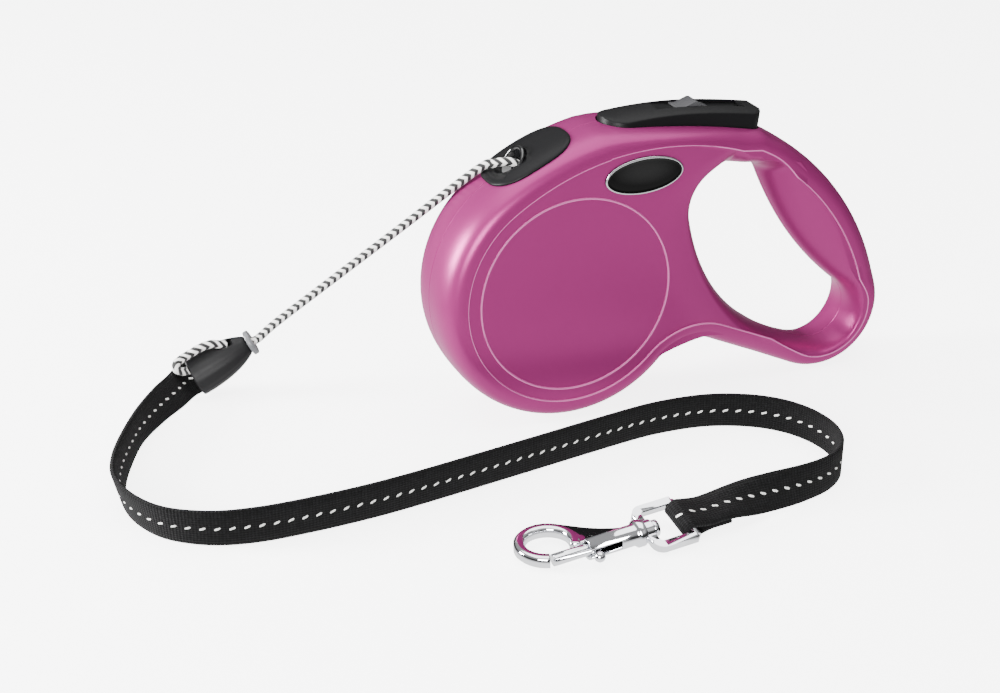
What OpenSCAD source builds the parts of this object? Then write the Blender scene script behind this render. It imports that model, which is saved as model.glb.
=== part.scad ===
// Retractable cord leash: a moulded two-part housing with a sprung cord spool,
// a thumb brake on its crown, and a cord that ends in a webbing strap and a bolt snap.
// Millimetres. X runs from the drum to the handle, Y through the housing, Z up.
// The origin is under the middle of the housing, on the surface that it stands on.

/* [Housing] */
// Radius of the drum end of the outline
drum_r = 46; // [44:0.5:50]
// Distance along X from the drum axis to the centre of the handle's end
handle_x = 98.5; // [96:0.5:106]
// Radius of the handle's rounded end
handle_r = 24; // [23:0.5:26]
// Radius of the crown that runs from the drum over the grip
crown_r = 95.6; // [93:0.2:99]
// Radius of the hollow under the strut
strut_r = 17; // [15:0.5:20]
// Angle below the horizontal at which the drum turns into the strut
strut_angle = 43; // [40:1:46]
// Thickness of the housing over the drum
body_t = 32; // [31:0.5:36]
// Thickness of the housing at the end of the handle
handle_t = 22; // [20:0.5:26]
// How far the rounded edge reaches in from the outline
edge = 7.5; // [6:0.25:9]
// Wall thickness of the shells
wall = 2.2; // [1.8:0.1:2.6]
// Depth of the small step round the flat side
panel_step = 0.35; // [0.2:0.05:0.6]
// Chamfer where the two shells meet
seam = 0.3; // [0.1:0.05:0.5]
// Radius of the moulded ring on each side
ring_r = 33.7; // [30:0.5:35]

/* [Hand hole] */
// Distance from the drum outline to the centre of the hole's upper corner
neck = 10; // [9:0.5:12]
// Height of the hole's upper corner above the drum axis
corner_z = 23; // [20:0.5:24]
// Radius of the hole's upper corner
corner_r = 12.5; // [11.5:0.25:13]
// Radius of the hole's corner under the thumb
thumb_r = 8; // [7:0.25:9]
// Radius of the hole's lower end
palm_r = 12; // [11.5:0.25:12.5]
// Radius of the hole's long side next to the drum
throat_r = 75; // [70:1:85]
// Radius of the bulge of the grip into the hole
grip_r = 120; // [100:5:160]
// Rounding of the hole's rim
lip = 4.5; // [3.5:0.25:5.5]
// Rounding of the rim along the grip
grip_flare = 15; // [12:0.5:17]

/* [Brake] */
// Length of the brake button
button_l = 57; // [52:0.5:58]
// Width of the brake button
button_w = 16; // [14:0.5:17]
// Height of the button's long edges above its seat
button_h = 5.3; // [4:0.1:6.5]
// Rise of the button's arched top above its long edges
button_arch = 2.6; // [1.5:0.1:3]
// Depth of the button below its seat
button_d = 5; // [4.5:0.25:5.5]
// Gap between the button and the opening in the housing
button_gap = 0.5; // [0.45:0.05:0.8]
// Length of the lock slider
slider_l = 12.6; // [10:0.2:14]
// Width of the lock slider
slider_w = 7; // [5:0.25:8]
// Height of the lock slider's ridge above the button
slider_h = 1.8; // [1.4:0.1:3]
// Travel of the lock slider
slider_travel = 9; // [6:0.5:11]
// Diameter of the button's hinge pin
hinge_d = 3; // [2.4:0.1:3.4]

/* [Spool] */
// Radius of the spool's flanges
flange_r = 38; // [36:0.5:39]
// Width of the cord space between the flanges
cord_space = 12.4; // [10:0.2:13]
// Thickness of a flange
flange_t = 1.6; // [1.2:0.1:2]
// Outer radius of the spool's hub
hub_r = 22; // [20:0.5:24]
// Number of ratchet teeth
teeth = 24; // [12:12:24]
// Depth of a ratchet tooth
tooth_h = 3; // [2.5:0.25:3.5]
// Diameter of the axle
axle_d = 6; // [5:0.1:7]
// Turns of the power spring
spring_turns = 8; // [5:1:9]
// Thickness of the power spring's strip
strip_t = 0.5; // [0.3:0.05:0.6]

/* [Outlet] */
// Length of the outlet bezel along the crown
bezel_l = 31; // [28:0.2:32]
// Width of the outlet bezel
bezel_w = 24; // [21:0.5:25]
// Height of the bezel above the skin
bezel_h = 0.9; // [0.6:0.1:1.4]
// Radius of the eyelet's ring, at the middle of its bar
eyelet_r = 4.1; // [3.8:0.1:4.3]
// Radius of the eyelet's bar
eyelet_bar = 1.3; // [1:0.1:1.4]

/* [Badge and screws] */
// Length of the oval badge
badge_l = 28; // [22:0.5:30]
// Height of the oval badge
badge_w = 12.5; // [10:0.5:14]
// Diameter of a housing screw's thread
screw_d = 2.8; // [2.4:0.1:3]
// Diameter of a housing screw's head
head_d = 5.2; // [4.6:0.1:5.6]

/* [Leash] */
// Diameter of the cord
cord_d = 2.9; // [2.4:0.1:3.2]
// Width of the webbing strap
strap_w = 12; // [11:0.25:12.5]
// Thickness of the webbing strap
strap_t = 1.5; // [1.2:0.1:1.6]
// Length of the bullet connector
bullet_l = 21.5; // [20:0.5:24]
// Width of the bullet connector at its mouth
bullet_w = 14.7; // [14.2:0.1:16]
// Depth of the bullet connector at its mouth
bullet_t = 11; // [9:0.25:12]
// Diameter of the stop collar
collar_d = 9; // [8:0.25:10]

/* [Bolt snap] */
// Radius of the hook's ring, at the middle of its bar
hook_r = 8.4; // [8:0.1:8.8]
// Half width of the hook's bar
hook_bar = 1.65; // [1.5:0.05:1.8]
// Half height of the hook's bar
hook_high = 1.9; // [1.7:0.05:2.1]
// Radius of the snap's shank
shank_r = 3.3; // [3.1:0.1:3.6]
// Diameter of the sliding bolt
bolt_d = 3.8; // [3.4:0.1:4]
// Travel of the sliding bolt
bolt_travel = 8; // [6:0.5:8.5]
// Inner width of the swivel eye
eye_w = 13; // [12.8:0.1:15]
// Bar radius of the swivel eye
eye_bar = 1.4; // [1.1:0.1:1.4]
// Inner length of the swivel eye
eye_l = 12; // [11:0.25:14]

/* [Hidden] */
$fn = 64;
pink = "#b8588c";
black = "#26262a";
grey = "#6f7074";
steel = "#c9ccd2";
brass = "#b59a55";

// General clearances
fit = 0.05;
loose = 0.3;

// Plane geometry: angles in degrees, points as [x, z] from the drum axis
function unit(a) = [cos(a), sin(a)];
function turn(v) = atan2(v[1], v[0]);
function mix(a, b, t) = a + (b - a) * t;
function smooth(t) = let (u = max(0, min(1, t))) u * u * (3 - 2 * u);
function meet(c1, d1, c2, d2, side) =
  let (v = c2 - c1, l = norm(v), u = v / l, a = (d1 * d1 - d2 * d2 + l * l) / (2 * l))
  c1 + a * u + side * sqrt(d1 * d1 - a * a) * [-u[1], u[0]];
function arc(c, r, a0, a1, n, s = 1) =
  [for (k = [0:n - 1]) let (u = unit(mix(a0, a1, k / n))) [c + r * u, s * u]];
function line(p, q, n) =
  let (d = (q - p) / norm(q - p)) [for (k = [0:n - 1]) [mix(p, q, k / n), [d[1], -d[0]]]];

// Outline circles: drum, handle end, crown round both, and the hollow under the strut
drum_c = [0, 0];
handle_c = [handle_x, handle_r - drum_r];
crown_c = meet(drum_c, crown_r - drum_r, handle_c, crown_r - handle_r, -1);
strut_c = (drum_r + strut_r) * unit(-strut_angle);
strut_v = handle_c - strut_c;
strut_turn = turn(strut_v) - acos((-strut_r - handle_r) / norm(strut_v));
crown_start = turn(handle_c - crown_c);
crown_end = turn(drum_c - crown_c);
drum_end = 360 - strut_angle;

// The crown is flat under the brake button: its seat, from the front to the rear
seat_front = 9;
seat_rear = 69;
seat_lift = 0.6;
seat_a0 = acos((seat_rear - crown_c[0]) / crown_r);
seat_a1 = acos((seat_front - crown_c[0]) / crown_r);
seat_p0 = crown_c + (crown_r + seat_lift) * unit(seat_a1);
seat_p1 = crown_c + (crown_r + seat_lift) * unit(seat_a0);
seat_tilt = turn(seat_p1 - seat_p0);

// Hand hole circles: upper corner, thumb corner, lower end, long side and grip
thumb_from_corner = [10, 3.5];
palm_from_handle = [2.5, -4];
corner_c = [drum_r + neck, corner_z];
thumb_c = corner_c + thumb_from_corner;
palm_c = handle_c + palm_from_handle;
throat_c = meet(corner_c, throat_r - corner_r, palm_c, throat_r - palm_r, 1);
grip_c = meet(thumb_c, grip_r + thumb_r, palm_c, grip_r + palm_r, 1);
top_v = corner_c - thumb_c;
top_turn = turn(top_v) - acos((thumb_r - corner_r) / norm(top_v)) + 360;
throat_start = turn(corner_c - throat_c) + 360;
throat_end = turn(palm_c - throat_c) + 360;
palm_end = turn(grip_c - palm_c);
thumb_start = turn(grip_c - thumb_c);

// Matching stations round the outline and round the hole: [point, normal]
outer = concat(
  arc(handle_c, handle_r, strut_turn, -90, 2),
  arc(handle_c, handle_r, -90, 0, 8),
  arc(handle_c, handle_r, 0, crown_start, 2),
  arc(crown_c, crown_r, crown_start, seat_a0, 16),
  line(seat_p1, seat_p0, 10),
  arc(crown_c, crown_r, seat_a1, crown_end, 6),
  arc(drum_c, drum_r, crown_end, 180, 6),
  arc(drum_c, drum_r, 180, 270, 10),
  arc(drum_c, drum_r, 270, drum_end, 6),
  arc(strut_c, strut_r, 180 - strut_angle, strut_turn + 180, 6, -1),
  line(strut_c - strut_r * unit(strut_turn), handle_c + handle_r * unit(strut_turn), 6)
);
hole = concat(
  arc(palm_c, palm_r, throat_end - 360, palm_end, 12),
  arc(grip_c, grip_r, palm_end + 180, thumb_start + 180, 10, -1),
  arc(thumb_c, thumb_r, thumb_start, top_turn, 6),
  line(thumb_c + thumb_r * unit(top_turn), corner_c + corner_r * unit(top_turn), 3),
  arc(corner_c, corner_r, top_turn, throat_start, 21),
  arc(throat_c, throat_r, throat_start, throat_end, 26)
);
stations = len(outer);

// Rounded edges follow a superellipse, and the body thins towards the handle
edge_power = 2.9;
function rise(t) = pow(sin(t), 2 / edge_power);
function inset(t) = 1 - pow(cos(t), 2 / edge_power);
taper_start = 15;
taper_end = 3.5;
taper_from = drum_r - taper_start;
taper_to = handle_x + taper_end;
function half(x) = mix(body_t, handle_t, smooth((x - taper_from) / (taper_to - taper_from))) / 2;
function span(i) = norm(outer[i][0] - hole[i][0]);
function on_flat(i) = outer[i][1] * unit(seat_tilt + 90) > 0.9999;
function seat_drop(i) = on_flat(i) ? crown_r - norm(outer[i][0] - crown_c) : 0;
least_rim = 1.5;
step_span = 12;
step_fade = 10;
function rim(i) = max(least_rim, min(edge - seat_drop(i), 0.46 * span(i)));
grip_way = 42;
function grip_share(i) = pow(max(0, hole[i][1] * unit(grip_way)), 3);
function flare(i) = min(mix(lip, grip_flare, grip_share(i)), span(i) - rim(i) - 0.6);
function crease(i) = mix(90, 62, grip_share(i));
function step_at(i) = panel_step * smooth((span(i) - step_span) / step_fade);
function from_outer(i, d) = outer[i][0] - d * outer[i][1];
function from_hole(i, d) = hole[i][0] + d * hole[i][1];
function deep(p, y) = [p[0], -y, p[1]];

// One station's section: round the outside from the seam at the outline to the seam at the hole
edge_turns = [14, 30, 46, 62, 78, 90];
flare_turns = [90, 70, 46, 22];
step_w = 0.5;
function skin(i) = concat(
  [deep(from_outer(i, seam), 0), deep(from_outer(i, 0), seam)],
  [for (t = edge_turns) let (p = from_outer(i, rim(i) * inset(t))) deep(p, half(p[0]) * rise(t))],
  let (a = from_outer(i, rim(i) + step_w), b = from_hole(i, flare(i)))
    [for (t = [0, 0.6]) let (p = mix(a, b, t)) deep(p, half(p[0]) - step_at(i))],
  let (c = crease(i) / 90)
    [for (t = flare_turns)
      let (p = from_hole(i, flare(i) * (1 - cos(t * c)) / (1 - cos(90 * c))))
        deep(p, (half(p[0]) - step_at(i)) * sin(t * c) / sin(90 * c))],
  [deep(from_hole(i, 0), seam), deep(from_hole(i, seam), 0)]
);

// A closed grid of rings, joined end to end
module ring_mesh(rings) {
  n = len(rings);
  m = len(rings[0]);
  polyhedron(
    points = [for (r = rings, p = r) p],
    faces = [
      for (i = [0:n - 1], j = [0:m - 1], s = [0, 1])
        let (up = ((i + 1) % n) * m, on = (j + 1) % m)
          s == 0 ? [i * m + j, up + on, up + j] : [i * m + j, i * m + on, up + on]
    ]
  );
}

// A loft through rings. Its ends are closed by a fan round the middle,
// or by a strip across the ring where point j lies opposite point fold - j.
function middle(r) = [for (k = [0:2]) let (v = [for (p = r) p[k]]) (v * [for (p = r) 1]) / len(r)];
function fan(m, hub) = [for (j = [0:m - 1]) [hub, j, (j + 1) % m]];
function strip(m, fold) = [
  for (k = [0:(m - 3) / 2], s = [0, 1])
    let (a = fold / 2 + k, c = (fold - a - 1 + m) % m, d = (fold - a + m) % m)
      if (s == 0 || d != a) s == 0 ? [a, a + 1, c] : [a, c, d]
];
module loft(rings, fold = -1) {
  n = len(rings);
  m = len(rings[0]);
  last = (n - 1) * m;
  start = fold < 0 ? fan(m, n * m) : strip(m, fold);
  end = fold < 0 ? fan(m, n * m + 1 - last) : strip(m, fold);
  polyhedron(
    points = concat([for (r = rings, p = r) p], fold < 0 ? [middle(rings[0]), middle(rings[n - 1])] : []),
    faces = concat(
      [for (i = [0:n - 2], j = [0:m - 1], s = [0, 1])
        let (up = (i + 1) * m, on = (j + 1) % m)
          s == 0 ? [i * m + j, up + j, up + on] : [i * m + j, up + on, i * m + on]],
      start,
      [for (f = end) [f[0] + last, f[2] + last, f[1] + last]]
    )
  );
}

// Places of the assembly
axis_x = -(handle_x + handle_r - drum_r) / 2;
axis_z = drum_r;
module at_drum() { translate([axis_x, 0, axis_z]) children(); }
module at(p, y = 0) { translate([p[0], y, p[1]]) children(); }
module along_y() { rotate([-90, 0, 0]) children(); }
module on_seat() { at(seat_p0) rotate([0, -seat_tilt, 0]) children(); }
function seat_point(t, v) = seat_p0 + t * unit(seat_tilt) + v * unit(seat_tilt + 90);

// Brake button, in the frame of its seat: t along it, v above it
button_t0 = 4.5;
button_bow = 93;
button_crest = button_t0 + button_l - 21.5;
rear_round = 4;
side_steps = 8;
plan_fold = 12;
function button_edge(t) = button_h - pow(t - button_crest, 2) / (2 * button_bow);
function button_top(t, y) = button_edge(t) + button_arch * (1 - pow(2 * y / button_w, 2));
function button_plan(g) =
  let (
    w = button_w / 2 + g,
    t0 = button_t0 - g,
    t1 = button_t0 + button_l + g,
    r = max(1.2, rear_round + g),
    side = [for (k = [1:side_steps - 1]) mix(t0 + w, t1 - r, k / side_steps)]
  )
  concat(
    [for (k = [0:12]) let (a = 90 + 15 * k) [t0 + w + w * cos(a), w * sin(a)]],
    [for (t = side) [t, -w]],
    [for (k = [0:4]) let (a = 22.5 * k - 90) [t1 - r + r * cos(a), r - w + r * sin(a)]],
    [for (k = [0:4]) let (a = 22.5 * k) [t1 - r + r * cos(a), w - r + r * sin(a)]],
    [for (k = [side_steps - 2:-1:0]) [side[k], w]]
  );
hinge_t = button_t0 + button_l - 4.5;
hinge_v = -button_d - 1.2;
hinge_p = seat_point(hinge_t, hinge_v);
lug_r = hinge_d / 2 + 1.1;
lug_w = 11;
lug_root = 1;
press_angle = 3.5;

// Lock slider's straight track in the top of the button
track_t = button_crest - 0.5;
track_spare = 6.4;
track_l = slider_l + slider_travel + track_spare;
track_d = 1.6;
slider_at = -2.4;
module on_track() {
  on_seat() translate([track_t, 0, button_top(track_t, 0) - track_d]) children();
}

// Spool: the ratchet disc is on the near side
spool_half = cord_space / 2 + flange_t;
hub_wall = 2;
bush_r = axle_d / 2 + 1.2;
winding_r = flange_r - 5.5;
boss_r = 7;
pilot_r = screw_d / 2;
screw_recess = 0.8;
head_h = 1.6;
function on_crown(a, d) = crown_c + (crown_r - d) * unit(a);
screw_points = [
  on_crown(seat_a1 + 2.4, edge - 0.3),
  drum_c + [drum_r + 4, -17],
  on_crown(seat_a0 - 9, edge - 0.5),
  handle_c + [-6.2, 41.7]
];
function shell_half(p) = half(p[0]) - panel_step;

// Brake tongue: from the underside of the button to just outside the flange
tongue_t = button_t0 + 7.5;
tongue_l = 2.4;
tongue_w = 2;
tongue_gap = 0.9;
tongue_p = seat_point(tongue_t, -button_d);
tongue_drop = tongue_p * unit(seat_tilt + 90)
  - sqrt(pow(flange_r + tongue_gap, 2) - pow(tongue_p * unit(seat_tilt), 2));
tip_p = seat_point(tongue_t, -button_d - tongue_drop);
tip_v = tip_p - hinge_p;
tip_pressed = hinge_p + [
  tip_v[0] * cos(press_angle) - tip_v[1] * sin(press_angle),
  tip_v[0] * sin(press_angle) + tip_v[1] * cos(press_angle)
];
gap_angle = turn(tip_pressed);

// Return spring, upright between a shelf in the shells and the button
spring_t = button_t0 + 28.5;
spring_r = 2.4;
spring_wire = 0.7;
spring_coils = 5;
spring_top = seat_point(spring_t, -button_d);
spring_l = 6.2;
spring_seat = spring_top[1] - spring_l - 0.4;

// Outlet: the bezel lies on the crown in front of the button
bezel_a = crown_end - 9.9;
bezel_power = 2.8;
bezel_plug = 5;
plug_share = 0.84;
plug_gap = 0.2;
skin_gap = 0.12;
sides = 48;
function skin_in(y) = edge * (1 - pow(1 - pow(abs(y) / (body_t / 2), edge_power), 1 / edge_power));
function bezel_point(u, y, h) =
  let (p = crown_c + (crown_r - skin_in(y) + h) * unit(bezel_a - u / crown_r * 180 / PI)) [p[0], y, p[1]];
function squared(c) = sign(c) * pow(abs(c), 2 / bezel_power);
function bezel_plan(share, g = 0) =
  [for (k = [0:sides - 1]) let (a = 360 * k / sides)
    [(share * bezel_l / 2 + g) * squared(cos(a)), (share * bezel_w / 2 + g) * squared(sin(a))]];
function bezel_ring(share, h) = [for (p = bezel_plan(share)) bezel_point(p[0], p[1], h)];
module on_bezel() { at(crown_c + crown_r * unit(bezel_a)) rotate([0, 90 - bezel_a, 0]) children(); }
eyelet_a = 150;
eyelet_c = on_crown(bezel_a + 2.6, 0.9);
module on_eyelet() { at(eyelet_c) rotate([0, 90 - eyelet_a, 0]) children(); }
cord_bore = eyelet_r - eyelet_bar + 0.1;
nose_r = 7;
nose_depth = 5;
pocket_floor = eyelet_bar + 0.3;
pocket_r = eyelet_r + eyelet_bar + 0.15;
module outlet_nose(g = 0) { on_eyelet() translate([0, 0, -nose_depth]) sphere(r = nose_r + g); }

// Badge on the near side, in the flat under the button
badge_x = 22.8;
badge_gap = 1.9;
badge_in = edge + step_w + badge_w / 2 + badge_gap;
badge_c = on_crown(acos((badge_x - crown_c[0]) / (crown_r - badge_in)), badge_in);
badge_tilt = 3;
badge_t = 0.7;
function oval(l, w, n = 40) = [for (k = [0:n - 1]) let (a = 360 * k / n) [l / 2 * cos(a), w / 2 * sin(a)]];
module on_badge() {
  at(badge_c, -body_t / 2 + panel_step) rotate([90, 0, 0]) rotate(badge_tilt) children();
}

// Rooms in each half, cut from the side where the halves meet
room_r = drum_r - wall - 0.6;
room_edge = 6;
room_in = 4.7;
under_button = button_d + 5;
grip_from = 13;
grip_to = 18;
grip_depth = 6.5;
module half_solid() { ring_mesh([for (i = [0:stations - 1]) skin(i)]); }
module spool_room() {
  d = body_t / 2 - wall - 0.2;
  difference() {
    rotate([90, 0, 0]) rotate_extrude($fn = 96)
      polygon([[0, -1], [room_r, -1], [room_r, room_edge], [room_r - room_in, d], [0, d]]);
    translate([0, -body_t / 2, 0]) along_y() cylinder(r = boss_r, h = body_t / 2 - spool_half - loose);
  }
}
module grip_room() {
  rotate([90, 0, 0]) translate([0, 0, -1]) linear_extrude(grip_depth + 1) polygon(concat(
    [for (i = [grip_from:grip_to]) from_outer(i, 6.5)],
    [for (i = [grip_to:-1:grip_from]) from_hole(i, 7)]
  ));
}
module button_opening() {
  on_seat() translate([0, 0, -under_button]) linear_extrude(under_button + 10)
    polygon(button_plan(button_gap));
}
module tongue_room() {
  on_seat() translate([tongue_t - tongue_l / 2 - 1.5, -spool_half - 0.6, -button_d - tongue_drop])
    cube([tongue_l + 3, tongue_w + 2, tongue_drop]);
}
module spring_pocket() {
  translate([spring_top[0], 0, spring_seat]) cylinder(r = spring_r + spring_wire / 2 + 0.4, h = spring_l);
}
module bezel_opening() {
  on_bezel() translate([0, 0, -bezel_plug - 6]) linear_extrude(bezel_plug + 11)
    polygon(bezel_plan(plug_share, plug_gap));
  outlet_nose(plug_gap);
}
module axle_bore() {
  translate([0, wall - body_t / 2, 0]) along_y() cylinder(d = axle_d + 2 * fit, h = body_t);
}
module hinge_bore() {
  at(hinge_p, wall - shell_half(hinge_p)) along_y() cylinder(d = hinge_d + 2 * fit, h = body_t);
}
function badge_edge(p) = badge_c + p[0] * unit(badge_tilt) + p[1] * unit(badge_tilt + 90);
ring_clear = min([for (p = oval(badge_l, badge_w)) norm(badge_edge(p))]) - 1.5;
module ring_bead() {
  r = min(ring_r, ring_clear);
  translate([0, panel_step - body_t / 2, 0]) rotate([90, 0, 0]) rotate_extrude($fn = 96)
    polygon([[r - 0.7, -0.3], [r - 0.3, 0.3], [r + 0.3, 0.3], [r + 0.7, -0.3]]);
}
// A moulded half; its children are cut out of it with the rooms
module moulding() {
  difference() {
    union() {
      half_solid();
      ring_bead();
    }
    spool_room();
    grip_room();
    button_opening();
    tongue_room();
    spring_pocket();
    bezel_opening();
    axle_bore();
    hinge_bore();
    children();
  }
}
module near_shell() {
  color(pink) at_drum() moulding()
    for (p = screw_points) at(p, wall - shell_half(p)) along_y() cylinder(r = pilot_r, h = body_t);
}
module screw_hole(p) {
  floor = screw_recess + head_h - shell_half(p);
  r = head_d / 2 + 0.2;
  at(p) along_y() rotate_extrude()
    polygon([[0, -body_t], [r, -body_t], [r, floor], [pilot_r + 0.2, floor], [pilot_r + 0.2, 1], [0, 1]]);
}
module far_shell() {
  color(pink) at_drum() mirror([0, 1, 0]) moulding() for (p = screw_points) screw_hole(p);
}
module housing_screws() {
  color(steel) at_drum() for (p = screw_points) at(p, shell_half(p) - screw_recess - head_h) {
    along_y() cylinder(d = head_d, h = head_h);
    translate([0, wall + 1 + screw_recess + head_h - 2 * shell_half(p), 0]) along_y()
      cylinder(r = pilot_r, h = 2 * shell_half(p) - wall - 1 - screw_recess - head_h / 2);
  }
}
module oval_badge() {
  color(black) at_drum() on_badge() loft([
    for (r = [[1, 0], [1, 0.6], [0.97, 0.9], [0.88, 1]])
      [for (p = oval(badge_l * r[0], badge_w * r[0], sides)) [p[0], p[1], r[1] * badge_t]]
  ]);
}
// A plain rod from one point to another
module rod(a, b, r) {
  v = b - a;
  translate(a) rotate([0, acos(v[2] / norm(v)), atan2(v[1], v[0])]) cylinder(r = r, h = norm(v));
}
module bezel_plate() {
  loft([
    bezel_ring(plug_share * 0.5, -bezel_plug),
    bezel_ring(plug_share, -bezel_plug),
    bezel_ring(plug_share, skin_gap),
    bezel_ring(1, skin_gap),
    bezel_ring(1, 0.5 * bezel_h),
    bezel_ring(0.97, 0.85 * bezel_h),
    bezel_ring(0.9, bezel_h),
    bezel_ring(0.6, bezel_h),
    bezel_ring(0.25, bezel_h)
  ]);
}
module outlet_bezel() {
  color(black) difference() {
    at_drum() difference() {
      union() {
        bezel_plate();
        outlet_nose();
      }
      on_eyelet() translate([0, 0, -pocket_floor]) cylinder(r = pocket_r, h = 14);
      on_eyelet() translate([0, 0, -20]) cylinder(r = cord_bore, h = 22);
    }
    rod(outlet + [-0.4, 0.3, 0.2], outlet + [-9.8, 5.6, -2], cord_d / 2 + loose);
  }
}
module outlet_eyelet() {
  color(black) at_drum() on_eyelet() rotate_extrude() translate([eyelet_r, 0]) circle(r = eyelet_bar);
}

// Brake
button_rounding = [[0, 0.7], [-0.25, 0.2], [-0.9, 0], [-3, 0], [-5, 0], [-6.2, 0]];
module button_blank() {
  on_seat() loft(concat(
    [[for (p = button_plan(0)) [p[0], p[1], -button_d]]],
    [for (r = button_rounding) [for (p = button_plan(r[0])) [p[0], p[1], button_top(p[0], p[1]) - r[1]]]]
  ), plan_fold);
}
module hinge_lug() {
  difference() {
    at(hinge_p, -lug_w / 2) along_y() cylinder(r = lug_r, h = lug_w);
    on_seat() translate([hinge_t - 2 * lug_r, -lug_w, lug_root - button_d])
      cube([4 * lug_r, 2 * lug_w, 2 * lug_r]);
  }
}
module brake_button() {
  color(black) at_drum() difference() {
    union() {
      difference() {
        button_blank();
        on_track() translate([-track_l / 2, -slider_w / 2 - loose, 0])
          cube([track_l, slider_w + 2 * loose, 3 * track_d]);
      }
      hinge_lug();
    }
    at(hinge_p, -lug_w) along_y() cylinder(d = hinge_d + 2 * fit, h = 2 * lug_w);
  }
}
module brake_tongue() {
  color(steel) at_drum() on_seat()
    translate([tongue_t - tongue_l / 2, -spool_half + 0.1, -button_d - tongue_drop])
      cube([tongue_l, tongue_w, tongue_drop]);
}
module lock_slider() {
  h = track_d + slider_h;
  l = slider_l / 2;
  color(grey) at_drum() on_track() translate([slider_at, slider_w / 2, fit]) rotate([90, 0, 0])
    linear_extrude(slider_w) polygon([
      [-l, 0], [l, 0], [l, track_d], [0.55 * l, track_d + 0.2], [0.1 * l, h], [-0.2 * l, h],
      [-0.95 * l, track_d + 0.1], [-l, track_d]
    ]);
}
module brake_hinge_pin() {
  w = 2 * (shell_half(hinge_p) - wall) - 0.4;
  color(steel) at_drum() at(hinge_p, -w / 2) along_y() cylinder(d = hinge_d, h = w);
}
module brake_return_spring() {
  n = 8 * spring_coils;
  color(steel) at_drum() translate([spring_top[0], 0, spring_seat + spring_wire / 2])
    tube(
      [for (k = [0:n]) [spring_r * cos(45 * k), spring_r * sin(45 * k), (spring_l - spring_wire) * k / n]],
      spring_wire / 2, 6
    );
}

// Spool and its drive
module spool_turned(profile) { rotate([90, 0, 0]) rotate_extrude($fn = 96) polygon(profile); }
module axle() {
  h = body_t - 2 * wall - 0.4;
  color(steel) at_drum() translate([0, -h / 2, 0]) along_y() cylinder(d = axle_d, h = h);
}
module spool_bush() {
  color(brass) at_drum() translate([0, -spool_half, 0]) along_y() difference() {
    cylinder(r = bush_r, h = 2 * spool_half);
    translate([0, 0, -1]) cylinder(d = axle_d + 2 * fit, h = 2 * spool_half + 2);
  }
}
module spool_drum() {
  c = cord_space / 2;
  color(grey) at_drum() spool_turned([
    [bush_r, c], [bush_r, c - 2], [hub_r - hub_wall, c - 2], [hub_r - hub_wall, -c - flange_t],
    [flange_r - 0.6, -c - flange_t], [flange_r, -c - flange_t + 0.5], [flange_r, -c - 0.3],
    [flange_r - 0.6, -c], [hub_r, -c], [hub_r, c]
  ]);
}
module ratchet_disc() {
  pitch = 360 / teeth;
  color(grey) at_drum() translate([0, -spool_half, 0]) difference() {
    along_y() cylinder(r = flange_r, h = flange_t, $fn = 96);
    translate([0, -1, 0]) along_y() cylinder(r = bush_r, h = flange_t + 2);
    for (k = [0:teeth - 1]) rotate([0, -gap_angle - k * pitch, 0])
      translate([flange_r - tooth_h, -1, -flange_r * sin(pitch / 2) * 0.55])
        cube([tooth_h + 2, flange_t + 2, 2 * flange_r * sin(pitch / 2) * 0.55]);
  }
}
module spring_cover() {
  color(grey) at_drum() translate([0, cord_space / 2, 0]) along_y() difference() {
    cylinder(r = hub_r - hub_wall - fit, h = flange_t);
    translate([0, 0, -1]) cylinder(r = bush_r, h = flange_t + 2);
  }
}
function spiral(r0, r1, turns, n) =
  [for (k = [0:n]) mix(r0, r1, k / n) * unit(360 * turns * k / n)];
module power_spring() {
  n = 16 * spring_turns;
  r0 = bush_r + 0.6;
  r1 = hub_r - hub_wall - strip_t - 0.2;
  color(steel) at_drum() translate([0, 2.3 - cord_space / 2, 0]) along_y() linear_extrude(cord_space - 2.6)
    polygon(concat(
      spiral(r0, r1, spring_turns, n),
      [for (k = [n:-1:0]) spiral(r0 + strip_t, r1 + strip_t, spring_turns, n)[k]]
    ));
}
module wound_cord() {
  c = cord_space / 2 - 0.2;
  color("#dddddd") at_drum() spool_turned([
    [hub_r, -c], [winding_r - 1.4, -c], [winding_r, 1.4 - c],
    [winding_r, c - 1.4], [winding_r - 1.4, c], [hub_r, c]
  ]);
}

// Cord, connector and strap: routes in the frame of the whole leash
function spline(q, n) = concat(
  [for (i = [0:len(q) - 2], k = [0:n - 1])
    let (a = q[max(0, i - 1)], b = q[i], c = q[i + 1], d = q[min(len(q) - 1, i + 2)], t = k / n)
      0.5 * (2 * b + t * (c - a + t * (2 * a - 5 * b + 4 * c - d + t * (3 * b - a - 3 * c + d))))],
  [q[len(q) - 1]]);
function way(q, i) = let (v = q[min(len(q) - 1, i + 1)] - q[max(0, i - 1)]) v / norm(v);
tube_up = [0.31, 0.17, 0.93];
function ring_at(p, w, r, n, up) =
  let (a = cross(w, up) / norm(cross(w, up)), b = cross(w, a))
  [for (k = [0:n - 1]) p + r * (a * cos(360 * k / n) + b * sin(360 * k / n))];
module tube(q, r, n, up = tube_up) { loft([for (i = [0:len(q) - 1]) ring_at(q[i], way(q, i), r, n, up)]); }

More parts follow.
